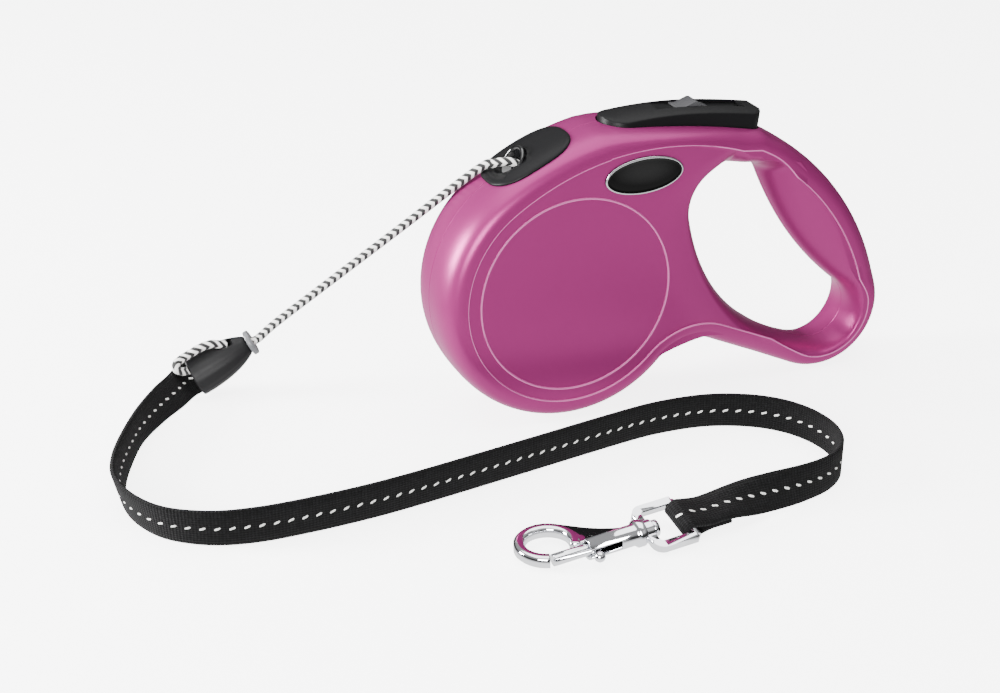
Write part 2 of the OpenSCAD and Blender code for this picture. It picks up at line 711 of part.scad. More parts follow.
bullet_base = [-152.6, 49.2, 6.6];
bullet_axis = [0.872, -0.117, 0.476];
bullet_nose_way = bullet_axis / norm(bullet_axis);
bullet_up = [-0.3, 0.53, 0.79];
bullet_side = cross(bullet_nose_way, bullet_up) / norm(cross(bullet_nose_way, bullet_up));
bullet_wide = cross(bullet_side, bullet_nose_way);
function on_bullet(x, y, z) = bullet_base + x * bullet_wide + y * bullet_side + z * bullet_nose_way;
bullet_wall = 1;
nose = on_bullet(0, 0, bullet_l);
outlet = [axis_x + eyelet_c[0], 0, axis_z + eyelet_c[1]];
cord_points = concat(
  [
    for (d = [
      [28.9, 0, -10.7], [18.6, 0, -8], [8.6, 0, -4.6], [3, 0, -1.6], [-1.4, 0.6, 0.4], [-6, 3.2, -0.5]
    ]) outlet + d
  ],
  [[-65.5, 6.2, 85.6], [-88, 20.1, 62.6], [-110.5, 34, 39.7], [-124.7, 42.7, 25.2]]
);
cord_route = concat(cord_points, [for (z = [4.6, 2.2, -3]) on_bullet(0, 0, bullet_l + z)]);
module cord() { color("#c8c8c8") tube(spline(cord_route, 3), cord_d / 2, 8); }
collar_t = 1.8;
module stop_collar() {
  w = bullet_nose_way;
  bore = cord_d / 2 + loose;
  r = collar_d / 2;
  h = collar_t / 2;
  color("#b9babc") translate(nose + (h + loose) * w) rotate([0, acos(w[2]), atan2(w[1], w[0])])
    rotate_extrude()
      polygon([[bore, -h], [r - 0.5, -h], [r, 0.5 - h], [r, h - 0.5], [r - 0.5, h], [bore, h]]);
}
function bullet_ring(s, w, t) =
  [for (k = [0:23]) let (a = -15 * k) on_bullet(w / 2 * cos(a), t / 2 * sin(a), s * bullet_l)];
bullet_form = [
  [0, 0.97], [0.04, 1], [0.2, 1], [0.4, 0.96], [0.6, 0.87], [0.78, 0.73], [0.92, 0.56], [0.98, 0.46], [1, 0.4]
];
module bullet_connector() {
  bore = cord_d + 2 * loose;
  color(black) difference() {
    ring_mesh(concat(
      [for (f = bullet_form) bullet_ring(f[0], bullet_w * f[1], bullet_t * f[1])],
      [bullet_ring(1, bore, bore), bullet_ring(0.74, bore, bore)],
      [for (f = [[0.7, 0.7], [0.4, 0.96], [0, 1]])
        bullet_ring(f[0], bullet_w * f[1] - 2 * bullet_wall, bullet_t * f[1] - 2 * bullet_wall)]
    ));
    tube([on_bullet(2.8, 1.4, 16.6), on_bullet(7.6, 5.5, 9.2)], cord_d / 2 + 2 * loose, 12);
  }
}
loop_points = [
  [3.7, 2.2, 15.2], [5, 3.4, 13.2], [6.3, 4.5, 11.2], [7, 5, 8], [7.1, 5.1, 4.5], [7.1, 5.1, 1],
  [6.7, 6.2, -1.5], [5.7, 7.1, -2.7], [4.4, 6.9, -2.9], [3.4, 5.3, -2.2], [2.8, 3.3, -1], [2.5, 2.15, 0.7],
  [2.3, 2, 3], [2.2, 2, 5.5]
];
loop_turn = [0.2, 0.9, -0.3];
module cord_loop() {
  q = spline([for (p = loop_points) on_bullet(p[0], p[1], p[2])], 2);
  color("#c8c8c8") tube(q, cord_d / 2, 8, loop_turn);
}

// Strap route: middle of the strap, then the way of its width
snap_y = -95.3;
snap_z = 4.9;
bar_x = -37.5;
snap_turn = 6;
snap_pitch = -2.2;
eye_roll = 15;
function pitched(v) = [
  v[0] * cos(snap_pitch) + v[2] * sin(snap_pitch), v[1], v[2] * cos(snap_pitch) - v[0] * sin(snap_pitch)
];
function turned(v) = [
  v[0] * cos(snap_turn) - v[1] * sin(snap_turn), v[0] * sin(snap_turn) + v[1] * cos(snap_turn), v[2]
];
function rolled(v) = [
  v[0], v[1] * cos(eye_roll) - v[2] * sin(eye_roll), v[1] * sin(eye_roll) + v[2] * cos(eye_roll)
];
function on_snap(x, y, z) = [bar_x, snap_y, snap_z] + turned(pitched(rolled([x - bar_x, y, z])));
snap_wide = on_snap(bar_x, 1, 0) - on_snap(bar_x, 0, 0);
fold_r = eye_bar + loose + strap_t / 2;
ply = strap_t / 2 + 0.1;
strap_z = strap_w / 2 + 0.1;
on_edge = [0, 0, 1];
function strap_point(x, y, z, w) = [x, y, z, w[0], w[1], w[2]];
function sewn(x, z) = concat(on_snap(x, 0, z), snap_wide);
strap_route = concat(
  [
    concat(on_bullet(0, -0.3, 5), bullet_wide),
    concat(on_bullet(0, -0.3, 0), bullet_wide),
    strap_point(-156.4, 48, 5.6, [-0.33, 0.52, 0.79]),
    strap_point(-161.6, 41, strap_z, [-0.28, 0.36, 0.89]),
    strap_point(-169, 33, strap_z, [-0.2, 0.2, 0.96]),
    strap_point(-178.5, 20, strap_z, [-0.1, 0.04, 1]),
    strap_point(-186.5, 4, strap_z, [-0.18, 0, 0.98]),
    strap_point(-191, -8, strap_z, [-0.24, -0.02, 0.97]),
    strap_point(-193, -19, strap_z, [-0.24, -0.06, 0.97]),
    strap_point(-191, -31.5, strap_z, [-0.18, -0.1, 0.98]),
    strap_point(-184.5, -43, strap_z, [-0.1, -0.1, 1]),
    strap_point(-173, -50.8, strap_z, [0, -0.06, 1])
  ],
  [
    for (p = [
      [-160, -54], [-144.5, -54.4], [-125, -53.2], [-106, -50.6], [-69.5, -44], [-30.5, -36.8], [-15.5, -35],
      [-1.5, -35.6], [9, -38.5], [18.5, -43.8], [25.5, -51.2], [29.6, -60.5], [30.2, -71], [26, -81.3]
    ]) strap_point(p[0], p[1], strap_z, on_edge)
  ],
  [
    strap_point(17.5, -88, strap_z, [0, 0.08, 1]),
    strap_point(6.5, -91.1, 6.2, [0, 0.22, 0.97]),
    strap_point(-5, -92.2, 6.2, [-0.04, 0.5, 0.87]),
    strap_point(-14, -93, 6.3, [-0.07, 0.78, 0.62]),
    concat(on_snap(bar_x + 16, 0, ply + 0.1), snap_wide + [0, 0, 0.1])
  ],
  [for (x = [11, 6.5]) sewn(bar_x + x, ply)],
  [for (a = [60:30:300]) sewn(bar_x + fold_r * cos(a), fold_r * sin(a))],
  [for (x = [6.5, 11, 14]) sewn(bar_x + x, -ply)]
);
module webbing() {
  s = spline(strap_route, 3);
  q = [for (p = s) [p[0], p[1], p[2]]];
  color(black) loft([
    for (i = [0:len(q) - 1])
      let (
        w = way(q, i),
        v = [s[i][3], s[i][4], s[i][5]],
        a = strap_t / 2 * cross(v, w) / norm(cross(v, w)),
        b = strap_w / 2 * cross(w, a) / norm(a)
      )
        [q[i] - b - a, q[i] - b + a, q[i] + b + a, q[i] + b - a]
  ]);
}

// Swivel eye and bolt snap, along X in the snap's own frame
wall_x = bar_x - eye_l;
eye_t = 2.6;
eye_h = 2 * eye_bar - 0.2;
stem_r = 1.7;
module eye_plan(x0, x1, y, r) {
  polygon(concat(
    [for (k = [0:6]) let (a = 90 + 15 * k) [x0 + r + r * cos(a), y - r + r * sin(a)]],
    [for (k = [0:6]) let (a = 180 + 15 * k) [x0 + r + r * cos(a), r - y + r * sin(a)]],
    [[x1, -y], [x1, y]]
  ));
}
module at_snap(roll = 0) {
  translate([bar_x, snap_y, snap_z]) rotate([roll, snap_pitch, snap_turn])
    translate([-bar_x, 0, 0]) children();
}
module along_x() { rotate([0, 90, 0]) children(); }
module swivel_eye() {
  y = eye_w / 2;
  color(steel) at_snap(eye_roll) difference() {
    union() {
      translate([0, 0, -eye_h / 2]) linear_extrude(eye_h) difference() {
        eye_plan(wall_x - eye_t, bar_x, y + eye_t, 3.5);
        eye_plan(wall_x, bar_x + 1, y, 1.2);
      }
      translate([bar_x, -y - eye_t / 2, 0]) along_y() cylinder(r = eye_bar, h = 2 * y + eye_t);
      translate([wall_x - eye_t + 0.1, 0, 0]) along_x() cylinder(r = stem_r + 1.6, h = eye_t - 0.2);
    }
    translate([wall_x - 2 * eye_t, 0, 0]) along_x() cylinder(r = stem_r + fit, h = 3 * eye_t);
  }
}
collar_x = wall_x - eye_t - 0.2;
shank_x = collar_x - 19;
hook_c = [shank_x - hook_r - 0.8, hook_r - 0.6];
hook_open = 40;
hook_tip = 246;
bolt_tip = hook_c[0] + (hook_r - hook_bar) * cos(hook_tip) + 0.35;
bore_end = collar_x - 5.5;
knob_x = shank_x + 1.2;
bolt_end = bore_end - bolt_travel - 0.4;
slot_w = 2.6;
web_low = 0.2 - hook_high;
module hook_section() {
  b = 0.6 * hook_bar;
  h = 0.65 * hook_high;
  polygon([
    [-hook_bar, -h], [-b, -hook_high], [b, -hook_high], [hook_bar, -h],
    [hook_bar, h], [b, hook_high], [-b, hook_high], [-hook_bar, h]
  ]);
}
module hook_web() {
  polygon([
    hook_r * unit(45), (hook_r + hook_bar - 0.3) * unit(40),
    [10.3, 3.6], [13.5, 0.6], [17, -1.9], [20.5, -3.8], [23.8, -5.2],
    [23.8, -hook_c[1] - 1], [10, -hook_c[1] - 1], hook_r * unit(6 - hook_open), hook_r * unit(0)
  ]);
}
module snap_hook() {
  color(steel) at_snap() difference() {
    union() {
      translate([wall_x + 0.2, 0, 0]) along_x() cylinder(r = stem_r + 0.9, h = 2);
      translate([collar_x - 1, 0, 0]) along_x() cylinder(r = stem_r, h = eye_t + 2);
      translate([collar_x, 0, 0]) rotate([0, -90, 0]) rotate_extrude()
        polygon([
          [0, 0], [shank_r + 0.6, 0], [shank_r + 0.9, 0.4], [shank_r + 0.9, 2.2], [shank_r, 3.2],
          [shank_r, collar_x - shank_x], [0, collar_x - shank_x]
        ]);
      translate([hook_c[0], hook_c[1], 0]) rotate(-hook_open) rotate_extrude(angle = hook_tip + hook_open)
        translate([hook_r, 0]) hook_section();
      translate([hook_c[0], hook_c[1], web_low]) linear_extrude(-2 * web_low) hook_web();
    }
    translate([hook_c[0], 0, 0]) along_x() cylinder(d = bolt_d + 2 * fit + 0.1, h = bore_end - hook_c[0]);
    translate([knob_x - slot_w / 2, -2 * shank_r, -slot_w / 2])
      cube([bolt_travel + slot_w, 2 * shank_r, slot_w]);
    translate([hook_c[0], -2 * shank_r, -slot_w / 2]) cube([knob_x - hook_c[0], 2 * shank_r, slot_w]);
  }
}
module snap_bolt() {
  color(steel) at_snap() {
    translate([bolt_tip, 0, 0]) along_x() cylinder(d = bolt_d, h = bolt_end - bolt_tip);
    translate([knob_x, 0, 0]) rotate([90, 0, 0]) cylinder(d = 2, h = shank_r + 1.5);
    translate([knob_x, -shank_r - 2, 0]) sphere(r = 1.7);
  }
}

near_shell();
far_shell();
housing_screws();
oval_badge();
outlet_bezel();
outlet_eyelet();
brake_button();
brake_tongue();
lock_slider();
brake_hinge_pin();
brake_return_spring();
axle();
spool_bush();
spool_drum();
ratchet_disc();
spring_cover();
power_spring();
wound_cord();
cord();
stop_collar();
bullet_connector();
cord_loop();
webbing();
swivel_eye();
snap_hook();
snap_bolt();
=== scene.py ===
"""Looks of a retractable cord leash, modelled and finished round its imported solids."""

import math

import bmesh
import bpy
from bpy.props import FloatProperty, FloatVectorProperty, PointerProperty
from mathutils import Euler, Matrix, Vector


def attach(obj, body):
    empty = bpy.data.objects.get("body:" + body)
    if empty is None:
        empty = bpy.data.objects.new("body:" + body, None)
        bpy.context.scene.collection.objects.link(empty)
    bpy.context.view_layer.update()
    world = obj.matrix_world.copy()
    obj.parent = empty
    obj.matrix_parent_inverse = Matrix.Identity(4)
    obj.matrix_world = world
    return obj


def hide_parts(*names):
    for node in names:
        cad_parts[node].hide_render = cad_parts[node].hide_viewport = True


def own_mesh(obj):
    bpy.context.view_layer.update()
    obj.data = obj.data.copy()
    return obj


bl_info = {
    "name": "Retractable leash",
    "version": (1, 0, 0),
    "blender": (4, 5, 0),
    "location": "View3D > Sidebar > Leash",
    "description": "Models and finishes a retractable cord leash round its packed solids",
    "category": "Object",
}

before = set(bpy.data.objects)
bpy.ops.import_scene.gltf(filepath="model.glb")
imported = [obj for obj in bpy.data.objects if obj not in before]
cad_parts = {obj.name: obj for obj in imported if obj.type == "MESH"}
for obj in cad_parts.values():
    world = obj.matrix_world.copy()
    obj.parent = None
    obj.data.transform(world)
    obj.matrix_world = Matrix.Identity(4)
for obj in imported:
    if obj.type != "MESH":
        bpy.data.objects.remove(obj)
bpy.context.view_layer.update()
MM = 0.001
MERGE = 1e-4


def linear(code):
    """Turns an sRGB hex colour into linear RGB."""
    parts = [int(code[k:k + 2], 16) / 255 for k in (1, 3, 5)]
    return tuple(c / 12.92 if c <= 0.04045 else ((c + 0.055) / 1.055) ** 2.4 for c in parts)


def number(name, description, value, **more):
    """Describes a setting."""
    return FloatProperty(name=name, description=description, default=value, **more)


def length(name, description, millimetres):
    """Describes a length setting with its default in millimetres."""
    return number(name, description, millimetres * MM, unit="LENGTH", precision=5)


def colour(name, description, code):
    """Describes a colour setting with its default as sRGB hex."""
    return FloatVectorProperty(
        name=name, description=description, default=linear(code), subtype="COLOR", size=3, min=0, max=1
    )


class HousingSettings(bpy.types.PropertyGroup):
    """Sizes and colour of the moulded housing."""

    drum_radius: length("Drum radius", "Radius of the drum end of the outline", 46)
    handle_reach: length("Handle reach", "Distance from the drum axis to the handle's end circle", 98.5)
    handle_radius: length("Handle radius", "Radius of the handle's rounded end", 24)
    crown_radius: length("Crown radius", "Radius of the crown from the drum over the grip", 95.6)
    body_depth: length("Body depth", "Thickness of the housing over the drum", 32)
    handle_depth: length("Handle depth", "Thickness of the housing at the handle's end", 22)
    edge_reach: length("Edge reach", "How far the rounded edge reaches in from the outline", 7.5)
    panel_step: length("Panel step", "Depth of the small step round the flat side", 0.35)
    ring_radius: length("Ring radius", "Radius of the moulded ring on each side", 33.7)
    pink: colour("Pink", "Colour of the pearl ABS", "#862a62")


class BrakeSettings(bpy.types.PropertyGroup):
    """Sizes and colours of the brake, the outlet and the badge."""

    button_length: length("Button length", "Length of the brake button", 57)
    button_width: length("Button width", "Width of the brake button", 16)
    button_height: length("Button height", "Height of the button's long edges above its seat", 5)
    button_arch: length("Button arch", "Rise of the button's arched top above its long edges", 1.8)
    slider_width: length("Slider width", "Width of the lock slider", 7)
    bezel_length: length("Bezel length", "Length of the outlet bezel along the crown", 31)
    bezel_width: length("Bezel width", "Width of the outlet bezel", 24)
    badge_length: length("Badge length", "Length of the oval badge", 28)
    badge_width: length("Badge width", "Height of the oval badge", 12.5)
    black: colour("Black", "Colour of the black trim", "#0f0f10")
    slider_grey: colour("Slider grey", "Colour of the lock slider", "#3d3d3f")


class LeashSettings(bpy.types.PropertyGroup):
    """Sizes and colours of the cord, the connector and the strap."""

    cord_width: length("Cord width", "Diameter of the braided cord", 2.9)
    strap_width: length("Strap width", "Width of the webbing", 12)
    strap_depth: length("Strap depth", "Thickness of the webbing", 1.5)
    stitch_pitch: length("Stitch pitch", "Distance from one white stitch to the next", 4.4)
    rib_pitch: length("Rib pitch", "Distance from one crosswise rib to the next", 1.05)
    cord_white: colour("Cord white", "Light yarn of the braid", "#f0efec")
    cord_black: colour("Cord black", "Dark yarn of the braid", "#0b0b0c")
    strap_black: colour("Strap black", "Yarn of the webbing", "#131314")
    bullet_grey: colour("Connector grey", "Colour of the bullet connector", "#141415")
    collar_grey: colour("Collar grey", "Colour of the stop collar", "#5e5f62")


class StageSettings(bpy.types.PropertyGroup):
    """Floor, light and camera."""

    field: number("Field of view", "Horizontal angle of the camera", math.radians(30), subtype="ANGLE")
    floor_white: colour("Floor", "Colour of the pale floor", "#f4f4f4")
    floor_glow: number("Floor glow", "Light from under the translucent floor", 5)
    key_power: number("Key light", "Power that each lamp has a share of, in watts", 12)
    sky_power: number("Sky", "Strength of the surrounding light", 0.22)


class LeashProject(bpy.types.PropertyGroup):
    """All settings of the leash."""

    housing: PointerProperty(type=HousingSettings)
    brake: PointerProperty(type=BrakeSettings)
    leash: PointerProperty(type=LeashSettings)
    stage: PointerProperty(type=StageSettings)


# Shader helpers


def wire(tree, made, inputs):
    """Sets a node's inputs, and links those that are given another node's output."""
    for socket, value in inputs.items():
        if isinstance(value, bpy.types.NodeSocket):
            tree.links.new(value, made.inputs[socket])
        else:
            made.inputs[socket].default_value = value


def node(tree, kind, inputs=None, **settings):
    """Adds a shader node with its settings and inputs, and returns its outputs."""
    made = tree.nodes.new("ShaderNode" + kind)
    for name, value in settings.items():
        setattr(made, name, value)
    wire(tree, made, inputs or {})
    return made.outputs


def finish_named(name, values):
    """Starts a finish: a material with its shader's constant values set on its own sockets."""
    made = bpy.data.materials.new(name)
    made.use_nodes = True
    shader = made.node_tree.nodes["Principled BSDF"]
    wire(made.node_tree, shader, values)
    return made, made.node_tree, shader


def rgba(c):
    """Adds a full alpha to a colour."""
    return (*c, 1)


BROAD_PATCH = 18 * MM


def grained(name, tint, rough, grain, depth, variation=0.06, metallic=0.0, coat=0.0, gleam=0.5):
    """A moulded, cast or plated finish: a grain, in millimetres, moves its colour, roughness and bump."""
    values = {"Metallic": metallic, "Coat Weight": coat, "Specular IOR Level": gleam}
    made, tree, shader = finish_named(name, values)
    place = node(tree, "TexCoord")["Object"]
    grit = {"Vector": place, "Scale": 1 / (grain * MM), "Detail": 3, "Roughness": 0.6}
    fine = node(tree, "TexNoise", grit)["Fac"]
    broad = node(tree, "TexNoise", {"Vector": place, "Scale": 1 / BROAD_PATCH, "Detail": 2})["Fac"]
    both = node(tree, "Math", {0: fine, 1: broad}, operation="ADD")[0]
    dark = rgba([c * (1 - variation) for c in tint])
    light = rgba([min(1, c * (1 + variation)) for c in tint])
    shade = node(tree, "Mix", {0: both, "A": dark, "B": light}, data_type="RGBA", clamp_factor=True)[2]
    gloss = node(
        tree,
        "MapRange",
        {"Value": fine, "From Min": 0.3, "From Max": 0.7, "To Min": rough * 0.88, "To Max": rough * 1.14},
    )[0]
    bump = node(tree, "Bump", {"Height": fine, "Strength": 0.5, "Distance": depth * MM})[0]
    wire(tree, shader, {"Base Color": shade, "Roughness": gloss, "Normal": bump})
    return made


FINISHES = {}


def finish(name):
    """Returns a finish by its name, and makes it on its first use."""
    if name not in FINISHES:
        FINISHES[name] = MAKERS[name](bpy.context.scene.leash_project)
    return FINISHES[name]


def pearl_abs(p):
    """Pearl-pigmented ABS, injection moulded: satin, with a metallic sheen and fine sparkle."""
    made = grained(
        "pearl_pink_abs", p.housing.pink, 0.34, 0.35, 0.012, 0.05, metallic=0.45, coat=0.05, gleam=0.18
    )
    sheen = {"Coat Roughness": 0.3, "Specular Tint": rgba(linear("#f2b4d6"))}
    wire(made.node_tree, made.node_tree.nodes["Principled BSDF"], sheen)
    return made


def pearl_painted_highlight(p):
    """The same ABS along its raised lines, glossier, and a paler pink there: a painted highlight along the
    lines.
    """
    return grained("pearl_abs_painted_highlight", linear("#c0609a"), 0.24, 0.35, 0.004, 0.05, metallic=0.3, coat=0.2)


def satin_black(p):
    """Black nylon, moulded against a spark-eroded steel: satin, with a fine grain."""
    return grained("satin_black_nylon", p.brake.black, 0.42, 0.4, 0.02, 0.12, gleam=0.12)


def polished_black(p):
    """Acetal, moulded against a polished steel: smooth, deep black and glossy."""
    return grained("polished_black_acetal", p.brake.black, 0.1, 0.8, 0.002, 0.05, coat=0.5, gleam=0.6)


def slider_grey(p):
    """Grey acetal with a light grain."""
    return grained("grey_acetal", p.brake.slider_grey, 0.4, 0.4, 0.015, 0.08, gleam=0.25)


def connector_grey(p):
    """Dark grey thermoplastic rubber: matte, with faint scuffs."""
    return grained("matte_grey_rubber", p.leash.bullet_grey, 0.5, 0.5, 0.03, 0.14, gleam=0.2)


def collar_grey(p):
    """Pale grey polypropylene."""
    return grained("pale_polypropylene", p.leash.collar_grey, 0.38, 0.5, 0.01, 0.06)


def chrome(p):
    """Zinc, cast and chrome plated: a bright mirror with a slight ripple from the casting."""
    return grained("chrome_plated_zinc", linear("#e3e4e8"), 0.07, 2.5, 0.01, 0.03, metallic=1.0)


def bright_steel(p):
    """Cold-drawn steel, zinc plated: a greyish satin metal."""
    return grained("zinc_plated_steel", linear("#b9bcc2"), 0.3, 0.6, 0.008, 0.08, metallic=1.0)


def turned_brass(p):
    """Brass, turned on a lathe."""
    return grained("turned_brass", linear("#b8974c"), 0.28, 0.5, 0.006, 0.08, metallic=1.0)


def spool_acetal(p):
    """Natural grey acetal, moulded: low gloss."""
    return grained("spool_acetal", linear("#8f9092"), 0.45, 0.6, 0.01, 0.06)


def silver_rim(p):
    """Hot-stamped silver foil on the badge's rim."""
    return grained("silver_foil", linear("#c8c9cc"), 0.22, 0.4, 0.004, 0.06, metallic=1.0)


def badge_black(p):
    """Black printed badge under a clear domed lacquer, with a painted reflection: a grey gradient towards its
    top.
    """
    made, tree, shader = finish_named(
        "domed_badge",
        {"Roughness": 0.16, "Specular IOR Level": 0.08, "Coat Weight": 0.03, "Coat Roughness": 0.05},
    )
    place = node(tree, "TexCoord")["Object"]
    centre = badge_place(HousingPlan(p.housing)).translation * MM
    moved = node(tree, "Mapping", {"Vector": place, "Location": -centre}, vector_type="POINT")[0]
    parts = node(tree, "SeparateXYZ", {0: moved})
    across = node(tree, "Math", {0: parts["X"], 1: p.brake.badge_length / 2}, operation="DIVIDE")[0]
    up = node(tree, "Math", {0: parts["Z"], 1: p.brake.badge_width / 2}, operation="DIVIDE")[0]
    up = node(tree, "Math", {0: up, 1: 0.35}, operation="SUBTRACT")[0]
    squares = [node(tree, "Math", {0: way, 1: 2}, operation="POWER")[0] for way in (across, up)]
    far = node(tree, "Math", {0: squares[0], 1: squares[1]}, operation="ADD")[0]
    # Grey towards the dome's top, black at its edge: a painted reflection of the light from above
    fade = node(
        tree, "MapRange", {"Value": far, "From Min": 0.05, "From Max": 0.75, "To Min": 1, "To Max": 0}
    )[0]
    tones = {0: fade, "A": rgba(linear("#060606")), "B": rgba(linear("#1c1c1c"))}
    wire(tree, shader, {"Base Color": node(tree, "Mix", tones, data_type="RGBA")[2]})
    return made


def braid(p):
    """Polyester cord, braided from black and white yarn: dull, with chevrons of raised strands round it."""
    made, tree, shader = finish_named("braided_polyester", {"Roughness": 0.75, "Sheen Weight": 0.2})
    spot = node(tree, "SeparateXYZ", {0: node(tree, "UVMap", uv_map="UVMap")[0]})
    pitch = 2.9
    columns = 4
    first = 0.2
    slant = 0.75
    column = node(tree, "Math", {0: spot["Y"], 1: columns, 2: first}, operation="MULTIPLY_ADD")[0]
    fold = node(tree, "Math", {0: column, 1: 1}, operation="PINGPONG")[0]
    gap = node(tree, "Math", {0: column, 1: 0.5}, operation="PINGPONG")[0]
    run = node(tree, "Math", {0: spot["X"], 1: pitch}, operation="DIVIDE")[0]
    strand = node(tree, "Math", {0: fold, 1: slant, 2: run}, operation="MULTIPLY_ADD")[0]
    share = node(tree, "Math", {0: strand}, operation="FRACT")[0]
    wave = node(tree, "Math", {0: share, 1: 0.5}, operation="PINGPONG")[0]
    mask = node(
        tree, "MapRange", {"Value": wave, "From Min": 0.24, "From Max": 0.29, "To Min": 1, "To Max": 0}
    )[0]
    yarns = {0: mask, "A": rgba(p.leash.cord_white), "B": rgba(p.leash.cord_black)}
    shade = node(tree, "Mix", yarns, data_type="RGBA")[2]
    ridge = node(tree, "Math", {0: strand, 1: 0.25}, operation="PINGPONG")[0]
    ridge = node(tree, "Math", {0: ridge, 1: gap}, operation="MULTIPLY")[0]
    bump = node(tree, "Bump", {"Height": ridge, "Strength": 0.7, "Distance": 0.8 * MM})[0]
    wire(tree, shader, {"Base Color": shade, "Normal": bump})
    return made


def woven(p):
    """Polyester webbing: crosswise ribs of a tight weave, with painted light and shade on them, and a line of
    white stitches along the middle.
    """
    made, tree, shader = finish_named(
        "ribbed_webbing",
        {"Roughness": 0.82, "Specular IOR Level": 0.1, "Sheen Weight": 0.02, "Sheen Roughness": 0.6},
    )
    spot = node(tree, "SeparateXYZ", {0: node(tree, "UVMap", uv_map="UVMap")[0]})
    place = node(tree, "TexCoord")["Object"]
    yarn_pitch = 0.8
    uneven_size = 1.4 * MM
    stitch_lean = -1.5
    stitch_thick = 0.42
    stitch_long = 0.22
    threads = []
    for way, pitch in (("X", p.leash.rib_pitch / MM), ("Y", yarn_pitch)):
        run = node(tree, "Math", {0: spot[way], 1: pitch}, operation="DIVIDE")[0]
        threads.append(node(tree, "Math", {0: run, 1: 0.5}, operation="PINGPONG")[0])
    weave = node(tree, "Math", {0: threads[0], 1: threads[1]}, operation="ADD")[0]
    uneven = node(tree, "TexNoise", {"Vector": place, "Scale": 1 / uneven_size, "Detail": 2})["Fac"]
    # Paler where the weave stands up and darker between, like its bump: painted light and shade on the ribs
    # and yarns, broken up by an uneven tone
    lit_weave_and_uneven_tone = node(tree, "Math", {0: weave, 1: uneven}, operation="MULTIPLY")[0]
    lit_weave_and_uneven_tone = node(tree, "Math", {0: lit_weave_and_uneven_tone, 1: 1.6}, operation="POWER")[0]
    yarns = {0: lit_weave_and_uneven_tone, "A": rgba(linear("#040404")), "B": rgba([2.9 * c for c in p.leash.strap_black])}
    cloth = node(tree, "Mix", yarns, data_type="RGBA", clamp_factor=True)[2]
    beat = node(tree, "Math", {0: spot["X"], 1: p.leash.stitch_pitch / MM}, operation="DIVIDE")[0]
    beat = node(tree, "Math", {0: beat}, operation="FRACT")[0]
    beat = node(tree, "Math", {0: beat, 1: 0.5}, operation="SUBTRACT")[0]
    off = node(tree, "Math", {0: beat, 1: stitch_lean, 2: spot["Y"]}, operation="MULTIPLY_ADD")[0]
    parts = []
    for way, half, power in ((off, stitch_thick, 2), (beat, stitch_long, 4)):
        share = node(tree, "Math", {0: way, 1: half}, operation="DIVIDE")[0]
        parts.append(node(tree, "Math", {0: share, 1: power}, operation="POWER")[0])
    oval = node(tree, "Math", {0: parts[0], 1: parts[1]}, operation="ADD")[0]
    stitch = node(
        tree, "MapRange", {"Value": oval, "From Min": 0.7, "From Max": 1.1, "To Min": 1, "To Max": 0}
    )[0]
    tones = {0: stitch, "A": cloth, "B": rgba(linear("#e6e6e2"))}
    shade = node(tree, "Mix", tones, data_type="RGBA")[2]
    raised = node(tree, "Math", {0: weave, 1: stitch}, operation="ADD")[0]
    bump = node(tree, "Bump", {"Height": raised, "Strength": 0.8, "Distance": 0.4 * MM})[0]
    wire(tree, shader, {"Base Color": shade, "Normal": bump})
    return made


MAKERS = {
    "pearl": pearl_abs,
    "crest": pearl_painted_highlight,
    "black": satin_black,
    "polished": polished_black,
    "slider": slider_grey,
    "connector": connector_grey,
    "collar": collar_grey,
    "chrome": chrome,
    "steel": bright_steel,
    "brass": turned_brass,
    "spool": spool_acetal,
    "silver": silver_rim,
    "badge": badge_black,
    "braid": braid,
    "woven": woven,
}


# Mesh helpers: everything is drawn in millimetres and made metres when it is finished


def draw_ring(bm, places):
    """Starts a closed ring of vertices."""
    ring = [bm.verts.new(p) for p in places]
    for a, b in zip(ring, ring[1:] + ring[:1]):
        bm.edges.new((a, b))
    return ring


def ring_edges(bm, ring):
    """The edges of a closed ring."""
    return [bm.edges.get((a, b)) for a, b in zip(ring, ring[1:] + ring[:1])]


def draw_on(bm, ring, places):
    """Extrudes a closed ring and moves the new one to its places."""
    made = bmesh.ops.extrude_edge_only(bm, edges=ring_edges(bm, ring))["geom"]
    fresh = {v for v in made if isinstance(v, bmesh.types.BMVert)}
    moved = []
    for old, place in zip(ring, places):
        new = next(e.other_vert(old) for e in old.link_edges if e.other_vert(old) in fresh)
        new.co = place
        moved.append(new)
    return moved


def sweep(bm, sections, closed=False):
    """Draws one closed outline through every section; its ends are capped, or joined to each other."""
    rings = [draw_ring(bm, sections[0])]
    for places in sections[1:]:
        rings.append(draw_on(bm, rings[-1], places))
    if closed:
        bmesh.ops.bridge_loops(bm, edges=ring_edges(bm, rings[-1]) + ring_edges(bm, rings[0]))
    else:
        bmesh.ops.contextual_create(bm, geom=ring_edges(bm, rings[0]))
        bmesh.ops.contextual_create(bm, geom=ring_edges(bm, rings[-1]))
    return rings


def unroll(bm, rings, along, around):
    """Unrolls a swept skin: U runs along it and V round it."""
    uv = bm.loops.layers.uv.new("UVMap")
    sides = len(rings[0])
    for i, (low, high) in enumerate(zip(rings, rings[1:])):
        for j in range(sides):
            k = (j + 1) % sides
            spots = {}
            for ring, run in ((low, along[i]), (high, along[i + 1])):
                spots[ring[j]] = (run, around[j])
                spots[ring[k]] = (run, around[j + 1])
            for corner in bm.faces.get((low[j], low[k], high[k], high[j])).loops:
                corner[uv].uv = spots[corner.vert]


def spin(bm, ring, edges, steps):
    """Turns a closed ring once round Z."""
    whole = {"cent": (0, 0, 0), "axis": (0, 0, 1), "angle": math.tau, "use_merge": True}
    bmesh.ops.spin(bm, geom=ring + edges, steps=steps, **whole)


def linked(bm, name):
    """Makes a mesh an object of the scene."""
    mesh = bpy.data.meshes.new(name)
    bm.to_mesh(mesh)
    bm.free()
    made = bpy.data.objects.new(name, mesh)
    bpy.context.scene.collection.objects.link(made)
    return made


